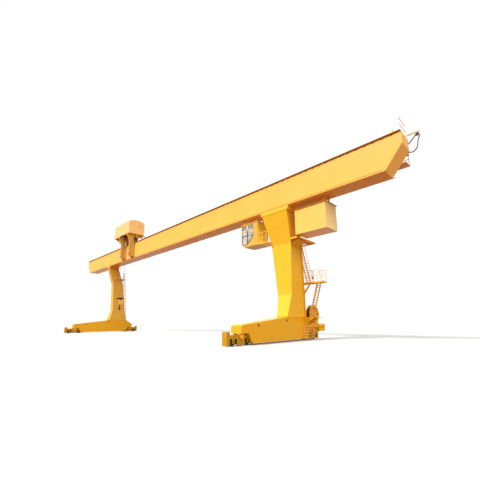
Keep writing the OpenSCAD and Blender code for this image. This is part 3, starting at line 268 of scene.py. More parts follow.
YELLOW = (0.90, 0.525, 0.028)
BLACK = (0.010, 0.010, 0.011)
TRANSOM_Z = cab_hi.z / 1000 - 0.365
mats = {
    "paint": paint("yellow_paint", YELLOW),
    # The far leg's paint is darker than the near leg's yellow as painted shade; both legs have the same
    # paint.
    "far_leg_shaded": paint("far_leg_painted_shade", (0.80, 0.44, 0.055)),
    # The cab's paint is darker than the yellow as painted shade, and its end wall at high x is painted
    # paler as painted light.
    "cab": paint("cab_paint_shaded_front_lit_side", (0.70, 0.435, 0.075),
                 band=("X", ORIGIN.x + cab_hi.x / 1000 - 0.002, (0.98, 0.73, 0.058))),
    "beam": paint("beam_paint", (0.85, 0.435, 0.016)),
    # The trolley frame's dark brown base colour is painted shade under the hood; its runs of dirt and its
    # rust are dirt and rust.
    "frame": paint("trolley_frame_painted_shade", (0.60, 0.27, 0.03), rough=0.5, dirt=0.4, rust=0.35),
    # The arms' darker, browner base colour is painted shade from the hood above them; the runs of dirt and
    # the rust are dirt and rust.
    "arms": paint("arm_painted_shade", (0.60, 0.34, 0.062), rough=0.5, dirt=0.35, rust=0.2),
    "bogie": paint("bogie_paint", (0.53, 0.275, 0.011), rough=0.48, dirt=0.3, rust=0.15),
    "girder": paint("girder_paint", (0.93, 0.505, 0.10), rough=0.36, shine=0.08),
    # The electrical room's wall at high x is painted paler as painted light.
    "sheet": paint("sheet_paint_lit_side", (0.93, 0.55, 0.125), rough=0.36, dirt=0.04,
                   band=("X", ORIGIN.x + room_hi.x / 1000 - 0.002, (0.98, 0.78, 0.30))),
    "hood": paint("hood_paint", (0.93, 0.575, 0.22), rough=0.40, dirt=0.04),
    "machine": paint("machine_paint", (0.84, 0.40, 0.020), rough=0.5, dirt=0.35, rust=0.35),
    "rail_paint": paint("rail_paint", (0.93, 0.56, 0.12), rough=0.45, dirt=0.1, rust=0.2,
                        band=("X", ORIGIN.x + end_near / 1000 - 0.06, (0.80, 0.74, 0.76))),
    "block": paint("block_paint", (0.92, 0.55, 0.10), rough=0.42,
                   band=("Z", block_hi.z / 1000 - 0.15, BLACK)),
    "stops": paint("stop_paint", (0.34, 0.20, 0.10), rough=0.5, rust=0.4,
                   band=("Y", ORIGIN.y + 0.157, YELLOW)),
    # Wheel steel is darkened to near black as painted shade, for the wheels inside the shaded bogie
    # openings; the drum hubs and block pins share it.
    "wheel": metal("wheel_steel", (0.050, 0.042, 0.038), rough=0.5, metallic=0.4),
    "tread": metal("wheel_tread", (0.16, 0.14, 0.13), rough=0.4, metallic=0.8),
    "black": metal("black_steel", (0.014, 0.014, 0.015), rough=0.45, metallic=0.2),
    "bolt": metal("bolt_steel", (0.14, 0.080, 0.035), rough=0.55, metallic=0.4),
    "dark": paint("dark_paint", (0.040, 0.040, 0.044), rough=0.45, dirt=0.3),
    # Dark brown used as painted shade on the flange gussets, under the flange's edges and along the cab's
    # corners.
    "shade": paint("shaded_paint", (0.34, 0.125, 0.008), rough=0.6),
    "roof_edge": paint("roof_edge_paint", (0.55, 0.26, 0.02), rough=0.45),
    "rubber": metal("black_rubber", (0.008, 0.008, 0.009), rough=0.6, metallic=0.0),
    "rope": metal("wire_rope", (0.44, 0.38, 0.28), rough=0.55, metallic=0.2, scale=90),
    "grille": metal("grey_guard", (0.30, 0.32, 0.32), rough=0.5, metallic=0.3),
    "cream": paint("cream_paint", (0.84, 0.72, 0.46), rough=0.5, dirt=0.1),
    "deck": tread_plate("deck_plate", (0.80, 0.38, 0.02)),
    "glass": glass_pane("cab_pane", (0.78, 0.80, 0.78), (0.34, 0.40, 0.43), TRANSOM_Z),
}

finish = {name: "paint" for name in nodes}
for key, names in {
        "girder": "girder_webs girder_flanges girder_end_plates festoon_rail",
        "sheet": "electrical_room roofs",
        "hood": "hood_side_panels hood_end_panels hood_roof",
        "far_leg_shaded": "far_leg",
        "cab": "cab_side_walls cab_end_walls cab_floor",
        "beam": "near_saddle_beam far_saddle_beam", "arms": "trolley_arms",
        "bogie": "near_front_bogie near_back_bogie far_front_bogie far_back_bogie",
        "machine": "cable_reel reel_frame", "frame": "trolley_frame",
        "rail_paint": "railings ladders upper_flight lower_flight",
        "stops": "rails_and_stops", "rubber": "festoon_cable", "rope": "ropes", "glass": "cab_glass",
        "black": "hook hook_sheaves", "block": "hook_block", "deck": "back_walkway",
        "dark": "trolley_motors reaction_rollers hoist_drum"}.items():
    for name in names.split():
        finish[name] = key
for name, thing in nodes.items():
    thing.data.materials.clear()
    thing.data.materials.append(mats["wheel" if "_wheel_" in name else finish[name]])


# Mesh building, all in millimetres of the crane
AXES = {"x": Vector((1, 0, 0)), "y": Vector((0, 1, 0)), "z": Vector((0, 0, 1))}


def across(axis):
    """Two directions square to axis."""
    side = axis.orthogonal().normalized()
    return side, axis.cross(side).normalized()


class Shape:
    """Collects the solids of one piece."""

    def __init__(self):
        self.mesh = bmesh.new()

    def loft(self, rings, closed=False):
        """Skin over rings of points; the ends are capped unless the rings close on themselves."""
        made = [[self.mesh.verts.new(at(*p)) for p in ring] for ring in rings]
        count = len(made[0])
        pairs = list(zip(made, made[1:])) + ([(made[-1], made[0])] if closed else [])
        for a, b in pairs:
            for i in range(count):
                j = (i + 1) % count
                self.mesh.faces.new((a[i], a[j], b[j], b[i]))
        if not closed:
            self.mesh.faces.new(list(reversed(made[0])))
            self.mesh.faces.new(made[-1])

    def box(self, x0, x1, y0, y1, z0, z1):
        """Block between two corners; either bound of an axis may come first."""
        self.loft([[(x0, y0, z), (x1, y0, z), (x1, y1, z), (x0, y1, z)] for z in (z0, z1)])

    def prism(self, outline, axis, a, b):
        """Outline in the other two axes, in cyclic order, drawn from a to b along axis."""
        place = {"x": lambda p, t: (t, p[0], p[1]), "y": lambda p, t: (p[0], t, p[1]),
                 "z": lambda p, t: (p[0], p[1], t)}[axis]
        self.loft([[place(p, t) for p in outline] for t in (a, b)])

    def cylinder(self, start, axis, length, r0, r1=None, sides=20):
        axis = (AXES[axis] if isinstance(axis, str) else Vector(axis).normalized())
        u, v = across(axis)
        start = Vector(start)
        rings = []
        for t, r in ((0, r0), (length, r0 if r1 is None else r1)):
            centre = start + axis * t
            rings.append([centre + r * (math.cos(a) * u + math.sin(a) * v)
                          for a in (2 * math.pi * i / sides for i in range(sides))])
        self.loft(rings)

    def bolt(self, start, axis, size):
        """Washer, hexagon head and stub, standing on a face."""
        axis = AXES[axis] if isinstance(axis, str) else Vector(axis).normalized()
        start = Vector(start)
        self.cylinder(start, axis, size * 0.14, size * 0.72, sides=12)
        self.cylinder(start + axis * size * 0.14, axis, size * 0.42, size * 0.55, sides=6)
        self.cylinder(start + axis * size * 0.56, axis, size * 0.2, size * 0.26, sides=8)

    def bolt_ring(self, centre, axis, radius, count, size, first=0.0):
        """Bolts evenly round centre, with their heads along axis, which lies along x or y."""
        centre, axis = Vector(centre), Vector(axis)
        flat = AXES["y"] if axis.x else AXES["x"]
        for k in range(count):
            a = first + 2 * math.pi * k / count
            self.bolt(centre + radius * (math.cos(a) * flat + math.sin(a) * AXES["z"]), axis, size)

    def tube(self, points, radius, sides=8, turn=None, closed=False):
        """Round bar along points. turn = (lobes, depth, pitch) twists it into strands."""
        points = [Vector(p) for p in points]
        last = len(points) - 1
        rings, walked, up = [], 0.0, None
        for i, p in enumerate(points):
            before = points[i - 1] if i or closed else p
            after = points[(i + 1) % len(points)] if i < last or closed else p
            way = (after - before).normalized()
            if up is None:
                up = way.orthogonal()
            up = (up - way * up.dot(way)).normalized()
            side = way.cross(up)
            walked += (p - points[i - 1]).length if i else 0
            ring = []
            for k in range(sides):
                a = 2 * math.pi * k / sides
                r = radius
                if turn:
                    lobes, depth, pitch = turn
                    r *= 1 - depth * (0.5 - 0.5 * math.cos(lobes * (a - 2 * math.pi * walked / pitch)))
                ring.append(p + r * (math.cos(a) * up + math.sin(a) * side))
            rings.append(ring)
        self.loft(rings, closed)

    def ring(self, centre, axis, radius, thick, sides=8, steps=40):
        u, v = across(AXES[axis])
        centre = Vector(centre)
        self.tube([centre + radius * (math.cos(a) * u + math.sin(a) * v)
                   for a in (2 * math.pi * i / steps for i in range(steps))], thick, sides, closed=True)

    def washer(self, centre, axis, inner, outer, length, steps=24):
        """Flat ring that starts at centre and runs along axis."""
        axis = AXES[axis] if isinstance(axis, str) else Vector(axis)
        u, v = across(axis)
        centre = Vector(centre)
        rings = []
        for i in range(steps):
            a = 2 * math.pi * i / steps
            way = math.cos(a) * u + math.sin(a) * v
            rings.append([centre + way * inner, centre + way * outer, centre + way * outer + axis * length,
                          centre + way * inner + axis * length])
        self.loft(rings, closed=True)

    def done(self, name, material, body, bevel=0.0, smooth=False):
        bmesh.ops.recalc_face_normals(self.mesh, faces=self.mesh.faces)
        data = bpy.data.meshes.new(name)
        self.mesh.to_mesh(data)
        self.mesh.free()
        piece = bpy.data.objects.new(name, data)
        bpy.context.collection.objects.link(piece)
        data.materials.append(mats[material])
        if smooth:
            for face in data.polygons:
                face.use_smooth = True
            data.set_sharp_from_angle(angle=math.radians(35))
        if bevel:
            edge = piece.modifiers.new("edge", "BEVEL")
            edge.width = bevel / 1000
            edge.segments = 2
            edge.limit_method = "ANGLE"
        if body:
            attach(piece, body)
        return piece


def steps(start, end, pitch):
    """Even places from start to end, about pitch apart."""
    count = max(1, round((end - start) / pitch))
    return [start + (end - start) * i / count for i in range(count + 1)]


# Girder: butt welds between its plates, gussets under the top flange coloured in painted shade, a painted
# shadow under and along the flange's edges, clips along the rail
def girder_details():
    seams = Shape()
    for x in steps(end_far + 900, end_near - 900, 2450):
        for y0, y1 in ((-2.5, 0.2), (girder_width - 0.2, girder_width + 2.5)):
            seams.box(x - 4, x + 4, y0, y1, girder_bottom + 150, girder_top - 14)
        for z0, z1 in ((girder_bottom - 2, girder_bottom + 0.2), (girder_bottom + 13, girder_bottom + 16)):
            seams.box(x - 4, x + 4, flange_y0 + 38, flange_y1 - 38, z0, z1)
    for y0, y1 in ((-5, 0), (girder_width, girder_width + 5)):
        for z in (girder_bottom + 14, girder_top - 19):
            seams.box(end_far + 670, end_near - 670, y0, y1, z, z + 5)
    seams.done("girder_weld_seams", "girder", "crane_frame")

    # Gussets under the top flange, coloured dark brown as painted shade.
    gussets = Shape()
    pitch, top, deep, half = 320, girder_top - 14, 96, 9
    count = int((end_near - end_far - 300) // pitch)
    for i in range(count + 1):
        x = end_far + 150 + i * pitch
        for web, tip in ((-0.2, flange_y0 + 6), (girder_width, flange_y1 - 6)):
            gussets.prism([(web, top), (tip, top), (tip, top - 12), (web, top - deep)],
                          "x", x - half, x + half)
    gussets.done("flange_gussets", "shade", "crane_frame")

    # Dark brown strips under the top flange's overhang and on its outer edges: a painted shadow of the
    # flange.
    edge = Shape()
    for y0, y1, lip in ((flange_y0, -0.5, flange_y0 - 4), (girder_width + 0.5, flange_y1, flange_y1)):
        edge.box(end_far + 10, end_near - 10, y0, y1, top - 4, top)
        edge.box(end_far, end_near, lip, lip + 4, top - 4, girder_top)
    edge.done("flange_painted_shadow", "shade", "crane_frame")

    clips = Shape()
    for x in steps(end_far + 420, end_near - 420, 400):
        for side in (-1, 1):
            y = RAIL_Y + side * 46
            toe = y - side * 18
            clips.box(x - 24, x + 24, y - 18, y + 18, girder_top - 0.2, girder_top + 11)
            clips.box(x - 20, x + 20, toe - 8, toe + 8, girder_top + 11, girder_top + 19)
            clips.bolt((x, y + side * 3, girder_top + 11), "z", 15)
    clips.done("rail_clips", "bolt", "crane_frame")

    plates = Shape()
    for x in (end_far + 620, end_near - 620):
        for y in (flange_y0 + 10, girder_width - 60):
            plates.box(x - 60, x + 60, y, y + 60, girder_bottom - 6, girder_bottom)
    plates.done("girder_end_pads", "paint", "crane_frame", bevel=3)


# Legs: bolted head, joints between plates, gussets at the foot
LEG_Z = (5895, 4450, 2062, beam_top)
LEG_FRONT = (0, 485, 603, 345)
LEG_BACK = (895, 1380, 1705, 1857)
LEG_WIDTHS = {"near": (1455, 1120, 775, 580), "far": (400, 460, 560, 760)}


def along(z, values):
    i = 0 if z > LEG_Z[1] else 1 if z > LEG_Z[2] else 2
    return values[i] + (values[i + 1] - values[i]) * (LEG_Z[i] - z) / (LEG_Z[i] - LEG_Z[i + 1])


def leg_details(side, middle):
    widths = LEG_WIDTHS[side]
    bolts, welds = Shape(), Shape()
    head = widths[0] / 2 + 20
    for x in steps(middle - head, middle + head, 118 if side == "near" else 100):
        bolts.bolt((x, -12, LEG_Z[0] + 24), (0, -1, 0), 21)
        bolts.bolt((x, LEG_BACK[0] + 12, LEG_Z[0] + 24), "y", 21)
    bolts.done(side + "_leg_head_bolts", "bolt", "crane_frame")
    for z in (LEG_Z[1], LEG_Z[2], 3300):
        half = along(z, widths) / 2 - 3
        front, back = along(z, LEG_FRONT), along(z, LEG_BACK)
        welds.box(middle - half, middle + half, front - 2.5, front + 3, z - 5, z + 5)
        welds.box(middle - half, middle + half, back - 3, back + 2.5, z - 5, z + 5)
        for s in (-1, 1):
            face = middle + s * (half - 87)
            welds.box(face - 2 * s, face + 3 * s, front + 10, back - 10, z - 4, z + 4)
    welds.done(side + "_leg_weld_seams", "paint", "crane_frame")
    gussets = Shape()
    reach = widths[3] / 2 - 24
    front, back = LEG_FRONT[3], LEG_BACK[3]
    outlines = ([(front + 1, 0), (front - 72, 0), (front - 72, 14), (front + 24, 110), (front + 28, 110)],
                [(back - 1, 0), (back + 66, 0), (back + 66, 14), (back - 14, 110), (back - 18, 110)])
    for x in steps(middle - reach, middle + reach, 130):
        for outline in outlines:
            gussets.prism([(y, beam_top + z) for y, z in outline], "x", x - 5, x + 5)
    gussets.done(side + "_leg_foot_gussets", "paint", "crane_frame", bevel=1.5)


# Saddle beams: black plugs in the holes as painted shade, welds, pin covers
PIN_Y = (-2425, 2425)
PIN_Z = 300
WHEEL_REACH = 387.5


def beam_details(side, middle):
    dark, welds, covers = Shape(), Shape(), Shape()
    for s in (-1, 1):
        # Black plugs set into the holes stand in for the shade inside them, as painted shade.
        for y, z in ((-1580, 720), (315, 910)):
            start = middle + s * (beam_half - 32)
            dark.cylinder((start, y, z), (s, 0, 0), 24, 51.5, sides=24)
        for y in (-1400, 1400):
            face = middle + s * beam_half
            welds.box(face, face + 2.5 * s, y - 4, y + 4, 75, beam_top - 200)
        for y in PIN_Y:
            start = Vector((middle + s * 189, y, PIN_Z))
            covers.cylinder(start, (s, 0, 0), 9, 54, sides=28)
            covers.bolt_ring(start + Vector((9 * s, 0, 0)), (s, 0, 0), 38, 4, 12, math.pi / 4)
    dark.done(side + "_beam_hole_painted_shade", "black", "crane_frame")
    welds.done(side + "_beam_weld_seams", "paint", "crane_frame")
    covers.done(side + "_bogie_pin_covers", "paint", "crane_frame", bevel=1.5)


# Bogies: axle covers, the motor's fins, its fan cowl and terminal box, and the gearbox's bolts
def bogie_details(name, middle, pin_y, out):
    half = 130
    covers, machine = Shape(), Shape()
    for y in (pin_y - WHEEL_REACH, pin_y + WHEEL_REACH):
        for s in (-1, 1):
            if s < 0 and y == pin_y + out * WHEEL_REACH:
                continue
            start = Vector((middle + s * (half + 6), y, wheel_r))
            covers.washer(start, (s, 0, 0), 40, 60, 8)
            covers.bolt_ring(start + Vector((8 * s, 0, 0)), (s, 0, 0), 50, 6, 10)
        for s in (-1, 1):
            covers.box(middle + s * (half + 1) - 3, middle + s * (half + 1) + 3, y - 62, y + 62, 266, 276)
    for s in (-1, 1):
        for z in (80, 455):
            covers.bolt((middle + s * half, pin_y + out * 675, z), (s, 0, 0), 22)
    covers.done(name + "_covers", "bogie", name)
    drive_y = pin_y + out * WHEEL_REACH
    x, z = middle - half - 75, 215
    for k in range(9):
        y = drive_y - out * (112 + k * 12)
        machine.washer((x, y - 2, z), "y", 50, 68, 4, steps=28)
    end = drive_y - out * 257
    machine.cylinder((x, end + out * 34, z), (0, -out, 0), 33.5, 66, 60, sides=28)
    machine.box(x - 32, x + 32, drive_y - out * 165 - 34, drive_y - out * 165 + 34, z + 53, z + 89)
    for dz in (110, 310):
        for dy in (-76, 0, 76):
            machine.bolt((middle - half - 120, drive_y + dy, dz), (-1, 0, 0), 14)
    machine.cylinder((middle - half - 120, drive_y, wheel_r), (-1, 0, 0), 12, 46, 40, sides=24)
    machine.done(name + "_drive_details", "machine", name)


# Wheels: a bright tread between the flanges, a hub and a ring of bolts
def wheel_details(name, middle, y):
    tread, hub = Shape(), Shape()
    tread.washer((middle - 37.8, y, wheel_r), "x", wheel_r - 24, wheel_r - 15.4, 75.6, steps=56)
    tread.done(name + "_tread", "tread", name, smooth=True)
    for s in (-1, 1):
        start = Vector((middle + s * 50, y, wheel_r))
        hub.washer(start, (s, 0, 0), 30, 72, 8)
        hub.washer(start, (s, 0, 0), 128, 150, 5, steps=40)
        hub.bolt_ring(start, (s, 0, 0), 100, 8, 13)
    hub.done(name + "_hub", "wheel", name, bevel=1)


girder_details()
WHEEL_ENDS = {"1": (-1, -1), "2": (-1, 1), "3": (1, -1), "4": (1, 1)}
for side, middle in (("near", near_x), ("far", far_x)):
    leg_details(side, middle)
    beam_details(side, middle)
    for place, pin_y, out in (("front", PIN_Y[0], -1), ("back", PIN_Y[1], 1)):
        bogie_details(side + "_" + place + "_bogie", middle, pin_y, out)
    for number, (end, way) in WHEEL_ENDS.items():
        wheel_details(side + "_wheel_" + number, middle, end * PIN_Y[1] + way * WHEEL_REACH)


# Cable reel and its frame
REEL_Y, REEL_Z = 2925, 1205
REEL_FOOT_Z = 650


def reel_details():
    y, z = REEL_Y, REEL_Z
    bar = ((60, 9), (450, 9), (450, -9), (60, -9))
    spokes = Shape()
    for s in (-1, 1):
        face = near_x + s * 100
        for k in range(8):
            a = math.radians(22.5 + 45 * k)
            way = Vector((0, math.cos(a), math.sin(a)))
            flat = Vector((0, -way.z, way.y))
            ring = []
            for x in (face - s * 0.5, face + s * 14):
                ring.append([Vector((x, y, z)) + way * r + flat * w for r, w in bar])
            spokes.loft(ring)
        spokes.ring((face, y, z), "x", 456, 8.5, sides=8, steps=72)
        spokes.washer((face - (0 if s > 0 else 26), y, z), "x", 33, 74, 26)
        spokes.bolt_ring((face + s * 26, y, z), (s, 0, 0), 56, 8, 12)
    spokes.done("reel_spokes", "machine", "reel")
    cable = Shape()
    layers, per_layer = 10, 10
    for layer in range(layers):
        r = 208 + 16.5 * layer
        for k in range(per_layer):
            if layer == layers - 1 or k in (0, per_layer - 1):
                cable.ring((near_x - 81 + 18 * k, y, z), "x", r, 9.4, sides=8, steps=56)
    cable.done("reel_windings", "rubber", "reel", smooth=True)
    feet = Shape()
    for s in (-1, 1):
        x = near_x + s * 190
        for fy in (y - 150, y + 150):
            feet.box(x - 40, x + 40, fy - 50, fy + 50, REEL_FOOT_Z, REEL_FOOT_Z + 10)
            for dx in (-28, 28):
                for dy in (-34, 34):
                    feet.bolt((x + dx, fy + dy, REEL_FOOT_Z + 10), "z", 14)
        start = Vector((near_x + s * 182.5, y, z))
        feet.cylinder(start, (s, 0, 0), 10, 46, 40, sides=24)
    feet.done("reel_frame_fittings", "machine", "crane_frame")


def cabinet_door(shape, axis, face, out, a0, a1, z0, z1, handle_at, louvres=0):
    """Door leaf on a wall that faces along axis, with hinges, a handle and louvres."""
    def slab(p0, p1, q0, q1, near, far):
        low, high = face + out * near, face + out * far
        if axis == "x":
            shape.box(low, high, p0, p1, q0, q1)
        else:
            shape.box(p0, p1, low, high, q0, q1)
    slab(a0, a1, z0, z1, 0, 5)
    slab(a0 + 14, a1 - 14, z0 + 14, z1 - 14, 5, 9)
    hinge_side = a0 if handle_at > (a0 + a1) / 2 else a1
    for z in (z0 + (z1 - z0) * 0.15, z0 + (z1 - z0) * 0.85):
        slab(hinge_side - 9, hinge_side + 9, z - 28, z + 28, 4, 15)
    slab(handle_at - 9, handle_at + 9, (z0 + z1) / 2 - 44, (z0 + z1) / 2 + 44, 9, 24)
    for i in range(louvres):
        z = z0 + (z1 - z0) * 0.12 + i * 22
        slab(a0 + (a1 - a0) * 0.22, a1 - (a1 - a0) * 0.22, z, z + 9, 9, 17)


def junction_box_details():
    lo, hi = Vector((near_x - 161.7, 3200, 350)), Vector((near_x + 161.7, 3775, 725))
    doors = Shape()
    cabinet_door(doors, "x", hi.x, 1, lo.y + 20, lo.y + 277, lo.z + 24, hi.z - 24, lo.y + 245)
    cabinet_door(doors, "x", hi.x, 1, lo.y + 297, hi.y - 20, lo.z + 24, hi.z - 24, lo.y + 325)
    cabinet_door(doors, "x", lo.x, -1, lo.y + 20, hi.y - 20, lo.z + 24, hi.z - 24, hi.y - 60, louvres=4)
    doors.box(lo.x - 8, hi.x + 8, lo.y, hi.y - 1, hi.z - 2, hi.z + 7)
    for k in range(3):
        doors.cylinder((near_x - 90 + 90 * k, lo.y + 70, lo.z), (0, 0, -1), 26, 16, sides=12)
    doors.done("junction_box_doors", "paint", "crane_frame", bevel=1)


# Electrical room: corner angles, wall joints, doors and louvres, an edge round the roof
def room_details():
    lo, hi = room_lo, room_hi
    trim = Shape()
    for x in (lo.x, hi.x):
        for y in (lo.y, hi.y):
            sx, sy = (1 if x == lo.x else -1), (1 if y == lo.y else -1)
            trim.box(x - sx * 4, x + sx * 30, y, y - sy * 4, lo.z, hi.z)
            trim.box(x, x - sx * 4, y - sy * 4, y + sy * 30, lo.z, hi.z)
    for z in (lo.z, hi.z - 26):
        for y in (lo.y - 4, hi.y):
            trim.box(lo.x + 30, hi.x - 30, y, y + 4, z, z + 26)
        for x in (hi.x, lo.x - 4):
            trim.box(x, x + 4, lo.y + 30, hi.y - 30, z, z + 26)
    for x in (lo.x + (hi.x - lo.x) * k / 3 for k in (1, 2)):
        trim.box(x - 9, x + 9, lo.y - 2.5, lo.y, lo.z + 26, hi.z - 26)
        trim.box(x - 9, x + 9, hi.y, hi.y + 2.5, lo.z + 26, hi.z - 26)
    trim.done("room_trim", "sheet", "crane_frame")
    door = Shape()
    cabinet_door(door, "y", hi.y, 1, lo.x + 90, lo.x + 480, lo.z + 60, hi.z - 70, lo.x + 445)
    for x in (lo.x + 560, lo.x + 1070):
        cabinet_door(door, "y", hi.y, 1, x, x + 400, lo.z + 420, hi.z - 90, x + 365, louvres=18)
    cabinet_door(door, "x", lo.x, -1, lo.y + 500, lo.y + 900, lo.z + 50, hi.z - 60, lo.y + 545)
    door.done("room_doors", "sheet", "crane_frame", bevel=1)
    roof = Shape()
    for y in (lo.y - 44, hi.y + 36):
        roof.box(lo.x - 10, hi.x + 40, y, y + 8, hi.z - 14, hi.z + 28)
    for x in (hi.x + 36, lo.x - 14):
        roof.box(x, x + 8, lo.y - 44, hi.y + 44, hi.z - 14, hi.z + 28)
    roof.done("room_roof_edge", "roof_edge", "crane_frame", bevel=1.5)


# Driver's cab: gaskets round the panes, mullion cover, guard, door fittings, corner seam
def frame_strip(shape, outline, wide, y0, y1):
    """Strip of even width inside a closed outline in x and z."""
    count = len(outline)
    inner = []
    for i, p in enumerate(outline):
        a, b = outline[i - 1], outline[(i + 1) % count]
        d0 = (Vector(p) - Vector(a)).normalized()
        d1 = (Vector(b) - Vector(p)).normalized()
        n0, n1 = Vector((d0.y, -d0.x)), Vector((d1.y, -d1.x))
        m = (n0 + n1).normalized()
        inner.append(Vector(p) + m * wide / max(0.3, m.dot(n0)))
    for i in range(count):
        j = (i + 1) % count
        quad = [outline[i], outline[j], tuple(inner[j]), tuple(inner[i])]
        shape.prism(quad, "y", y0, y1)
    return inner


def cab_details():
    x0, z0 = cab_lo.x, cab_lo.z
    y0, y1 = cab_lo.y + 6, cab_hi.y - 6
    x1, z1 = cab_hi.x, cab_hi.z
    glass_x, mullion, transom = x0 + 810, x0 + 395, z1 - 365
    outline = [(x0 + 36, z0 + 190), (x0 + 36, z1 - 80), (glass_x, z1 - 80), (glass_x, z0 + 485),
               (x0 + 620, z0 + 265), (x0 + 300, z0 + 70), (x0 + 170, z0 + 70)]
    gasket = Shape()
    for face, out in ((y0, -1), (y1, 1)):
        frame_strip(gasket, outline, 15, *sorted((face - out * 14, face + out * 5)))
        sill = [(glass_x + 6, z0 + 478), (x0 + 626, z0 + 258), (x0 + 304, z0 + 62), (x0 + 166, z0 + 62),
                (x0 + 176, z0 + 96), (x0 + 292, z0 + 96), (x0 + 600, z0 + 288), (glass_x - 34, z0 + 520)]
        for i in range(3):
            corners = [sill[i], sill[i + 1], sill[6 - i], sill[7 - i]]
            gasket.prism(corners, "y", face + out * 4, face + out * 9)
        low, high = face - out * 9, face + out * 10
        gasket.box(mullion + 4, mullion + 56, low, high, z0 + 96, transom - 6)
        gasket.box(x0 + 46, mullion + 4, low, high, z0 + 560, z0 + 582)
        gasket.box(mullion + 56, glass_x - 10, low, high, z0 + 540, z0 + 562)
    gasket.done("cab_window_gaskets", "black", "crane_frame")
    bars = Shape()
    for face, out in ((y0, -1), (y1, 1)):
        low, high = face - out * 9, face + out * 11
        bars.box(mullion - 2, mullion + 62, low, high, transom - 6, z1 - 80)
        bars.box(x0 + 36, glass_x, low, high, transom - 8, transom + 44)
    bars.done("cab_window_bars", "cream", "crane_frame", bevel=2)
    guard = Shape()
    reach = x0 - 26
    levels = (z0 + 130, z0 + 300, z0 + 470)
    for z in levels:
        guard.tube([(x0 + 4, y0 + 70, z), (reach, y0 + 70, z),
                    (reach, y1 - 70, z), (x0 + 4, y1 - 70, z)], 7)
    for y in steps(y0 + 70, y1 - 70, 130):
        guard.tube([(reach, y, z0 + 125), (reach, y, z0 + 475)], 6)
    for face, out in ((y0, -1), (y1, 1)):
        y = face + out * 22
        for z in levels:
            guard.tube([(x0 + 20, face, z), (x0 + 20, y, z), (x0 + 170, y, z), (x0 + 170, face, z)], 6)
    guard.done("cab_guard", "grille", "crane_frame", smooth=True)
    fittings = Shape()
    door0, door1 = y0 + 274, y0 + 674
    face = x1 + 10
    for z in (z0 + 150, z0 + 520, z0 + 880):
        fittings.box(face - 1, face + 12, door1 - 12, door1 + 14, z - 26, z + 26)
    fittings.box(face, face + 22, door0 + 26, door0 + 46, z0 + 470, z0 + 580)
    fittings.box(x1, x1 + 22, y0 + 40, door0 - 60, z0 + 2, z0 + 24)
    fittings.done("cab_door_fittings", "black", "crane_frame", bevel=1)
    # The corner seams are raised strips, coloured dark brown as painted shade along the corners at the
    # cab's high x end.
    seam = Shape()
    seam.box(x1 - 2, x1 + 3, y0 - 3, y0 + 5, z0 - 24, z1)
    seam.box(x1 - 2, x1 + 3, y1 - 5, y1 + 3, z0 - 24, z1)
    seam.done("cab_corner_seams", "shade", "crane_frame")
    sill = Shape()
    sill.box(x1 - 2, x1 + 14, y0 + 2, y1 - 2, z0 - 26, z0 - 2)
    sill.box(x0 + 180, x1, y0 - 7, y0 + 1, z0 - 28, z0 - 6)
    sill.done("cab_sills", "rail_paint", "crane_frame", bevel=2)
    desk = Shape()
    desk.box(x0 + 70, x0 + 200, y0 + 200, y1 - 200, z0 + 2, z0 + 420)
    desk.prism([(x0 + 60, z0 + 420), (x0 + 230, z0 + 420), (x0 + 110, z0 + 520), (x0 + 60, z0 + 520)],
               "y", y0 + 160, y1 - 160)
    desk.done("cab_control_desk", "dark", "crane_frame", bevel=4)


# Walkway, middle platform and cable rail: foot plates, kick plate, end clamp, a work lamp
WALK_Z = 6575
WALK_EDGE = girder_width + 460
PLATFORM_Z = 2680
FESTOON_Y = 960
CLAMP_X = 15990
CLAMP_Z = 7590
LAMP = Vector((near_x + 880, 1662, 2895))


def access_details():
    plates = Shape()
    start, end = end_far + 310, end_near - 150
    for x in steps(start, end, (end - start) / 26):
        y = WALK_EDGE - 16
        plates.box(x - 26, x + 26, y - 22, y + 14, WALK_Z, WALK_Z + 8)
        for dx in (-17, 17):
            plates.bolt((x + dx, y - 12, WALK_Z + 8), "z", 9)
    for x in (near_x + 650, near_x + 900, near_x + 1145, near_x + 1390):
        plates.box(x - 24, x + 24, 1652, 1690, PLATFORM_Z, PLATFORM_Z + 7)
    plates.done("railing_foot_plates", "rail_paint", "crane_frame")
    kick = Shape()
    kick.box(start, end, WALK_EDGE - 6, WALK_EDGE, WALK_Z, WALK_Z + 50)
    kick.done("walkway_kick_plate", "rail_paint", "crane_frame")
    clamps = Shape()
    clamps.box(CLAMP_X - 42, CLAMP_X + 42, FESTOON_Y - 20, FESTOON_Y + 20, CLAMP_Z - 50, CLAMP_Z + 50)
    clamps.box(CLAMP_X - 50, CLAMP_X + 50, FESTOON_Y - 14, FESTOON_Y + 14, CLAMP_Z - 90, CLAMP_Z - 45)
    clamps.cylinder((CLAMP_X, FESTOON_Y - 28, CLAMP_Z), "y", 56, 30, sides=20)
    clamps.done("festoon_end_clamp", "black", "crane_frame", bevel=3)
    lamp = Shape()
    lamp.cylinder(LAMP, "z", -85, 40, 30, sides=24)
    lamp.cylinder(LAMP - Vector((0, 0, 2)), "z", 14, 24, 14, sides=20)
    lamp.tube([LAMP + Vector((0, 0, 5)), LAMP + Vector((0, -2, 51))], 7)
    lamp.done("stair_lamp", "black", "crane_frame", smooth=True)


# Trolley: hood joints, arm and roller fittings, drum rope, motors
TROLLEY_X = -6000
HOOK_X = TROLLEY_X + 50
HOOK_Y = -360
ARM_X = (TROLLEY_X - 450, TROLLEY_X + 1125)
DECK_Z = 8095
DRUM_Z = DECK_Z + 400
ROPE_R = 6
COIL_R = 160
FALL_X = 60
AXLE_Z = 7584.3
SHEAVE_Z = 2640


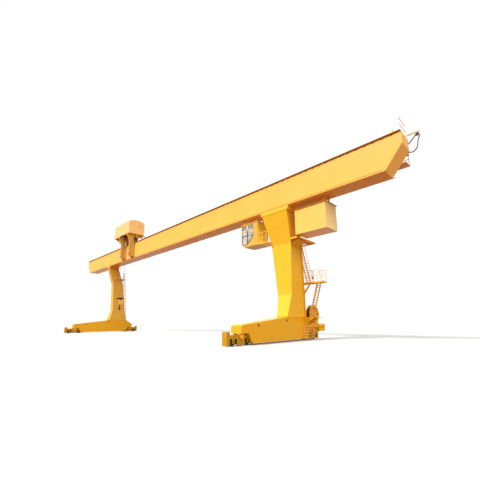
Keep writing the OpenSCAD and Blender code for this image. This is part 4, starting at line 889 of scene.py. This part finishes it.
def hood_details():
    lo, hi = hood_lo, hood_hi
    trim = Shape()
    thirds = [lo.x + (hi.x - lo.x) * k / 3 for k in (1, 2)]
    for x in thirds + [lo.x + 12, hi.x - 12]:
        trim.box(x - 10, x + 10, lo.y - 2.5, lo.y, lo.z, hi.z)
        trim.box(x - 10, x + 10, hi.y, hi.y + 2.5, lo.z, hi.z)
    for y0, y1 in ((lo.y - 5, lo.y), (hi.y, hi.y + 5)):
        trim.box(lo.x, hi.x, y0, y1, lo.z, lo.z + 30)
        trim.box(lo.x, hi.x, y0 + 1, y1 - 1, hi.z - 8, hi.z + 4)
    for x0, x1 in ((lo.x - 4, lo.x), (hi.x, hi.x + 4)):
        trim.box(x0, x1, lo.y, hi.y, lo.z, lo.z + 30)
    trim.done("hood_trim", "hood", "trolley", bevel=1)
    bolts = Shape()
    for x in steps(lo.x + 60, hi.x - 60, 230):
        bolts.bolt((x, lo.y - 5, lo.z + 15), (0, -1, 0), 12)
        bolts.bolt((x, hi.y + 5, lo.z + 15), "y", 12)
    for y in steps(lo.y + 80, hi.y - 80, 230):
        bolts.bolt((lo.x - 4, y, lo.z + 15), (-1, 0, 0), 12)
        bolts.bolt((hi.x + 4, y, lo.z + 15), "x", 12)
    bolts.done("hood_bolts", "bolt", "trolley")
    vents = Shape()
    for x, out in ((lo.x, -1), (hi.x, 1)):
        for k in range(9):
            z = lo.z + 560 + k * 34
            vents.box(x, x + out * 9, hi.y - 520, hi.y - 180, z, z + 12)
    vents.done("hood_louvres", "hood", "trolley", bevel=1)


def arm_details():
    fittings, bolts = Shape(), Shape()
    for x in ARM_X:
        for front, z in ((-560, DECK_Z - 172), (-434, girder_bottom + 330)):
            fittings.box(x - 74, x + 74, front, -76, z - 7, z + 7)
        for s in (-1, 1):
            face = x + s * 70
            for z in steps(girder_bottom + 420, DECK_Z - 330, 330):
                fittings.box(face, face + s * 6, -420, -90, z - 5, z + 5)
            for dz in (40, 100):
                for y in (-225, -185):
                    bolts.bolt((x + s * 60, y, girder_bottom + 14 + dz), (s, 0, 0), 15)
        fittings.box(x - 66, x + 66, -262, -248, girder_bottom + 20, girder_bottom + 150)
        for z in (girder_bottom + 52, girder_bottom + 152):
            fittings.washer((x, -82.3, z), "z", 23, 40, 7)
        for y in (RAIL_Y - 75, RAIL_Y + 75):
            s = 1 if y > RAIL_Y else -1
            start = Vector((x, y, AXLE_Z))
            fittings.washer(start, (0, s, 0), 26, 52, 9)
            bolts.bolt_ring(start + Vector((0, 9 * s, 0)), (0, s, 0), 40, 4, 10, math.pi / 4)
    fittings.done("arm_fittings", "arms", "trolley", bevel=1)
    for x in ARM_X:
        for y in (RAIL_Y - 110, RAIL_Y + 110):
            for dx in (-60, 60):
                bolts.bolt((x + dx, y, DECK_Z - 160), (0, 0, -1), 18)
    bolts.done("arm_bolts", "bolt", "trolley")


def hoist_details():
    rope = Shape()
    for s in (-1, 1):
        turns, pitch, per = 17, 15.5, 40
        points = []
        for i in range(turns * per + 1):
            a = 2 * math.pi * i / per
            x = HOOK_X + s * (FALL_X + pitch * i / per)
            points.append((x, HOOK_Y + COIL_R * math.cos(a), DRUM_Z + COIL_R * math.sin(a)))
        rope.tube(points, ROPE_R, sides=6)
    rope.done("drum_rope", "rope", "trolley", smooth=True)
    motor = Shape()
    for k in range(16):
        motor.washer((HOOK_X + 20 + k * 24, HOOK_Y + 370, DECK_Z + 260), "x", 118, 144, 6, steps=32)
    motor.cylinder((HOOK_X - 110, HOOK_Y + 370, DECK_Z + 260), "x", 60, 138, 142, sides=32)
    motor.box(HOOK_X + 130, HOOK_X + 260, HOOK_Y + 300, HOOK_Y + 440, DECK_Z + 395, DECK_Z + 450)
    for z in (DECK_Z + 62, DECK_Z + 300):
        motor.box(HOOK_X + 464, HOOK_X + 706, HOOK_Y - 106, HOOK_Y + 466, z, z + 20)
    for y in steps(HOOK_Y - 70, HOOK_Y + 430, 100):
        motor.bolt((HOOK_X + 706, y, DECK_Z + 310), "x", 16)
    x = ARM_X[1] + 236
    for k in range(8):
        motor.washer((x, RAIL_Y - 100 - k * 17, AXLE_Z + 130), (0, -1, 0), 54, 72, 5, steps=28)
    motor.cylinder((x, RAIL_Y - 226, AXLE_Z + 130), (0, -1, 0), 30, 68, 62, sides=28)
    motor.done("trolley_motor_fins", "dark", "trolley")
    drum = Shape()
    for s in (-1, 1):
        face = HOOK_X + s * 400
        drum.washer((face, HOOK_Y, DRUM_Z), (s, 0, 0), 42, 90, 10, steps=28)
        drum.bolt_ring((face + s * 10, HOOK_Y, DRUM_Z), (s, 0, 0), 68, 8, 12)
    drum.done("drum_hubs", "wheel", "trolley")


# Ropes from the drum to the hook block, laid in six strands
def rope_details():
    falls = Shape()
    count = 420
    for s in (-1, 1):
        for t in (-1, 1):
            x, y = HOOK_X + s * FALL_X, HOOK_Y + t * COIL_R
            points = [(x, y, SHEAVE_Z + (DRUM_Z - SHEAVE_Z) * i / count) for i in range(count + 1)]
            falls.tube(points, ROPE_R + 0.8, sides=12, turn=(6, 0.28, 90))
    piece = falls.done("hoist_ropes", "rope", None, smooth=True)
    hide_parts("ropes")
    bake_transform(piece)
    wraps = Shape()
    for s in (-1, 1):
        points = [(HOOK_X + s * FALL_X, HOOK_Y + COIL_R * math.cos(a), SHEAVE_Z + COIL_R * math.sin(a))
                  for a in (-math.pi * i / 30 for i in range(31))]
        wraps.tube(points, ROPE_R, sides=8)
    wraps.done("sheave_ropes", "rope", "lower_block", smooth=True)


# Lower block and hook: pins, spacers between the cheeks, the hook's nut
def hook_details():
    pins = Shape()
    for s in (-1, 1):
        face = HOOK_X + s * 104
        pins.cylinder((face, HOOK_Y, SHEAVE_Z), (s, 0, 0), 12, 46, 43, sides=28)
        pins.bolt_ring((face + s * 12, HOOK_Y, SHEAVE_Z), (s, 0, 0), 30, 5, 11)
        for y, z in ((-215, 30), (215, 30), (-175, 150), (175, 150), (-90, -250), (90, -250)):
            pins.bolt((face, HOOK_Y + y, SHEAVE_Z + z), (s, 0, 0), 17)
    pins.done("block_pins", "wheel", "lower_block")
    guards = Shape()
    for y in (HOOK_Y - 232, HOOK_Y + 232):
        guards.tube([(HOOK_X - 92, y, SHEAVE_Z + 60), (HOOK_X + 92, y, SHEAVE_Z + 60)], 9)
    guards.done("block_spacers", "wheel", "lower_block", smooth=True)
    head = span("hook")[1].z
    nut = Shape()
    nut.cylinder((HOOK_X, HOOK_Y, head - 16), "z", 14, 50, 44, sides=6)
    nut.done("hook_nut", "black", "hook", bevel=2)


# Cable of the festoon: leaves the feed box, turns over the end saddle, then hangs from saddle to saddle
CORD_R = 9
SADDLE_R = 72
CARRIER_Z = 7598
LOOPS = 14
SAG = 430


def smooth_route(points, parts):
    """Points of a smooth curve that passes through every point given."""
    made = []
    for i in range(len(points) - 1):
        p0, p1, p2 = points[max(i - 1, 0)], points[i], points[i + 1]
        p3 = points[min(i + 2, len(points) - 1)]
        for k in range(parts):
            t = k / parts
            made.append(0.5 * ((2 * p1) + (p2 - p0) * t + (2 * p0 - 5 * p1 + 4 * p2 - p3) * t * t
                               + (3 * p1 - p0 - 3 * p2 + p3) * t * t * t))
    return made + [points[-1]]


def leaving_angle(length):
    """Angle below level at which a loop of that length leaves the arc of its saddle."""
    angle = 0.7
    for _ in range(30):
        depth = SAG - SADDLE_R * (1 - math.cos(angle))
        angle = math.atan2(2 * depth, length / 2 - SADDLE_R * math.sin(angle))
    return angle


def festoon_route():
    """Middle line of the cord in x and z, and the middles of the saddles that it hangs over."""
    first, last = TROLLEY_X + 1200, end_near + 320
    middles = [first + (last - first) * i / LOOPS for i in range(LOOPS)] + [last - 23]
    axis_z = CARRIER_Z - CORD_R - SADDLE_R
    feed_x, feed_z = end_near - 60, girder_top - 445

    def over(middle, start, end):
        count = max(2, round((end - start) / 0.16))
        return [Vector((middle + SADDLE_R * math.cos(a), axis_z + SADDLE_R * math.sin(a)))
                for a in (start + (end - start) * i / count for i in range(count + 1))]

    angles = [leaving_angle(b - a) for a, b in zip(middles, middles[1:])]
    rise = math.radians(8)
    turn = over(middles[-1], rise, math.pi / 2 + angles[-1])
    ahead = turn[0] + 200 * Vector((-math.sin(rise), math.cos(rise)))
    lead = [(0.3, 0), (60, 0), (150, -25), (290, 90), (360, 370)]
    lead = [Vector((feed_x + x, feed_z + z)) for x, z in lead] + [turn[0], ahead]
    route = smooth_route(lead, 6)[:-7] + turn
    for i in range(LOOPS - 1, -1, -1):
        angle = angles[i]
        a, b = route[-1], middles[i] + SADDLE_R * math.sin(angle)
        depth = SAG - SADDLE_R * (1 - math.cos(angle))
        parts = 24
        for k in range(1, parts):
            t = k / parts
            route.append(Vector((a.x + (b - a.x) * t, a.y - depth * 4 * t * (1 - t))))
        left = math.pi / 2 + (angles[i - 1] if i else 0)
        route += over(middles[i], math.pi / 2 - angle, left)
    return route, middles


def festoon_cable():
    route, middles = festoon_route()
    for number, aside in enumerate((0, -21, 21)):
        path = [Vector((p.x, FESTOON_Y + aside, p.y)) for p in route]
        cable = Shape()
        cable.tube(path, CORD_R, sides=10)
        piece = cable.done("festoon_cord_%d" % (number + 1), "rubber", "crane_frame", smooth=True)
        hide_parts("festoon_cable")
    saddles = Shape()
    axis_z = CARRIER_Z - CORD_R - SADDLE_R
    y0, y1 = FESTOON_Y - 34, FESTOON_Y + 34
    for x in middles:
        arc = [math.radians(45 + 10 * i) for i in range(10)]
        outer, inner = SADDLE_R - CORD_R, SADDLE_R - CORD_R - 7
        outline = [(x + outer * math.cos(a), axis_z + outer * math.sin(a)) for a in arc]
        outline += [(x + inner * math.cos(a), axis_z + inner * math.sin(a)) for a in reversed(arc)]
        saddles.prism(outline, "y", y0, y1)
        saddles.box(x - 20, x + 20, y0, y1, CARRIER_Z, CARRIER_Z + 7)
        for y in (y0, y1 - 4):
            saddles.box(x - 16, x + 16, y, y + 4, axis_z + inner, CARRIER_Z + 7)
    saddles.done("festoon_saddles", "black", "crane_frame", bevel=1.5)


reel_details()
junction_box_details()
room_details()
cab_details()
access_details()
hood_details()
arm_details()
hoist_details()
rope_details()
hook_details()
festoon_cable()


# Floor, backdrop and light
SEEN_RAYS = ("Is Camera Ray", "Is Glossy Ray", "Is Transmission Ray")


def light_path_mix(n, link, shown, hidden):
    """Shows one shader to the rays that are seen and another to the rest."""
    path = n.new("ShaderNodeLightPath")
    factor = path.outputs[SEEN_RAYS[0]]
    for ray in SEEN_RAYS[1:]:
        either = n.new("ShaderNodeMath")
        either.operation = "MAXIMUM"
        link.new(factor, either.inputs[0])
        link.new(path.outputs[ray], either.inputs[1])
        factor = either.outputs["Value"]
    mix = n.new("ShaderNodeMixShader")
    link.new(factor, mix.inputs["Fac"])
    link.new(hidden, mix.inputs[1])
    link.new(shown, mix.inputs[2])
    return mix.outputs["Shader"]


def make_stage():
    mesh = bpy.data.meshes.new("floor")
    reach = 300
    mesh.from_pydata([(-reach, -reach, 0), (reach, -reach, 0), (reach, reach, 0), (-reach, reach, 0)], [],
                     [(0, 1, 2, 3)])
    floor = bpy.data.objects.new("floor", mesh)
    floor.location.z = -0.002
    material, n, link, shader = new_material("floor")
    shader.inputs["Base Color"].default_value = (0.80, 0.79, 0.77, 1)
    shader.inputs["Roughness"].default_value = 0.9
    bounce = n.new("ShaderNodeBsdfDiffuse")
    bounce.inputs["Color"].default_value = (0.26, 0.12, 0.035, 1)
    out = n["Material Output"]
    both = light_path_mix(n, link, shader.outputs["BSDF"], bounce.outputs["BSDF"])
    link.new(both, out.inputs["Surface"])
    mesh.materials.append(material)
    bpy.context.collection.objects.link(floor)
    world = bpy.data.worlds.new("world")
    bpy.context.scene.world = world
    world.use_nodes = True
    n, link = world.node_tree.nodes, world.node_tree.links
    n.clear()
    lit = n.new("ShaderNodeBackground")
    lit.inputs["Color"].default_value = (0.95, 0.96, 1.0, 1)
    lit.inputs["Strength"].default_value = 0.60
    shown = n.new("ShaderNodeBackground")
    shown.inputs["Color"].default_value = (1, 1, 1, 1)
    shown.inputs["Strength"].default_value = 1.0
    out = n.new("ShaderNodeOutputWorld")
    both = light_path_mix(n, link, shown.outputs["Background"], lit.outputs["Background"])
    link.new(both, out.inputs["Surface"])
    for name, towards, energy, angle, colour in (
            ("key", (-0.30, -0.80, 0.72), 3.6, 12, (1.0, 0.97, 0.92)),
            ("side", (0.95, -0.35, 0.40), 1.55, 40, (1.0, 0.97, 0.93)),
            ("back", (-0.45, 0.85, 0.30), 0.9, 60, (0.97, 0.98, 1.0))):
        lamp = bpy.data.lights.new(name, "SUN")
        lamp.energy = energy
        lamp.angle = math.radians(angle)
        lamp.color = colour
        holder = bpy.data.objects.new(name, lamp)
        holder.rotation_euler = Vector(towards).to_track_quat("Z", "Y").to_euler()
        bpy.context.collection.objects.link(holder)
    bpy.context.scene.view_settings.view_transform = "Standard"


make_stage()
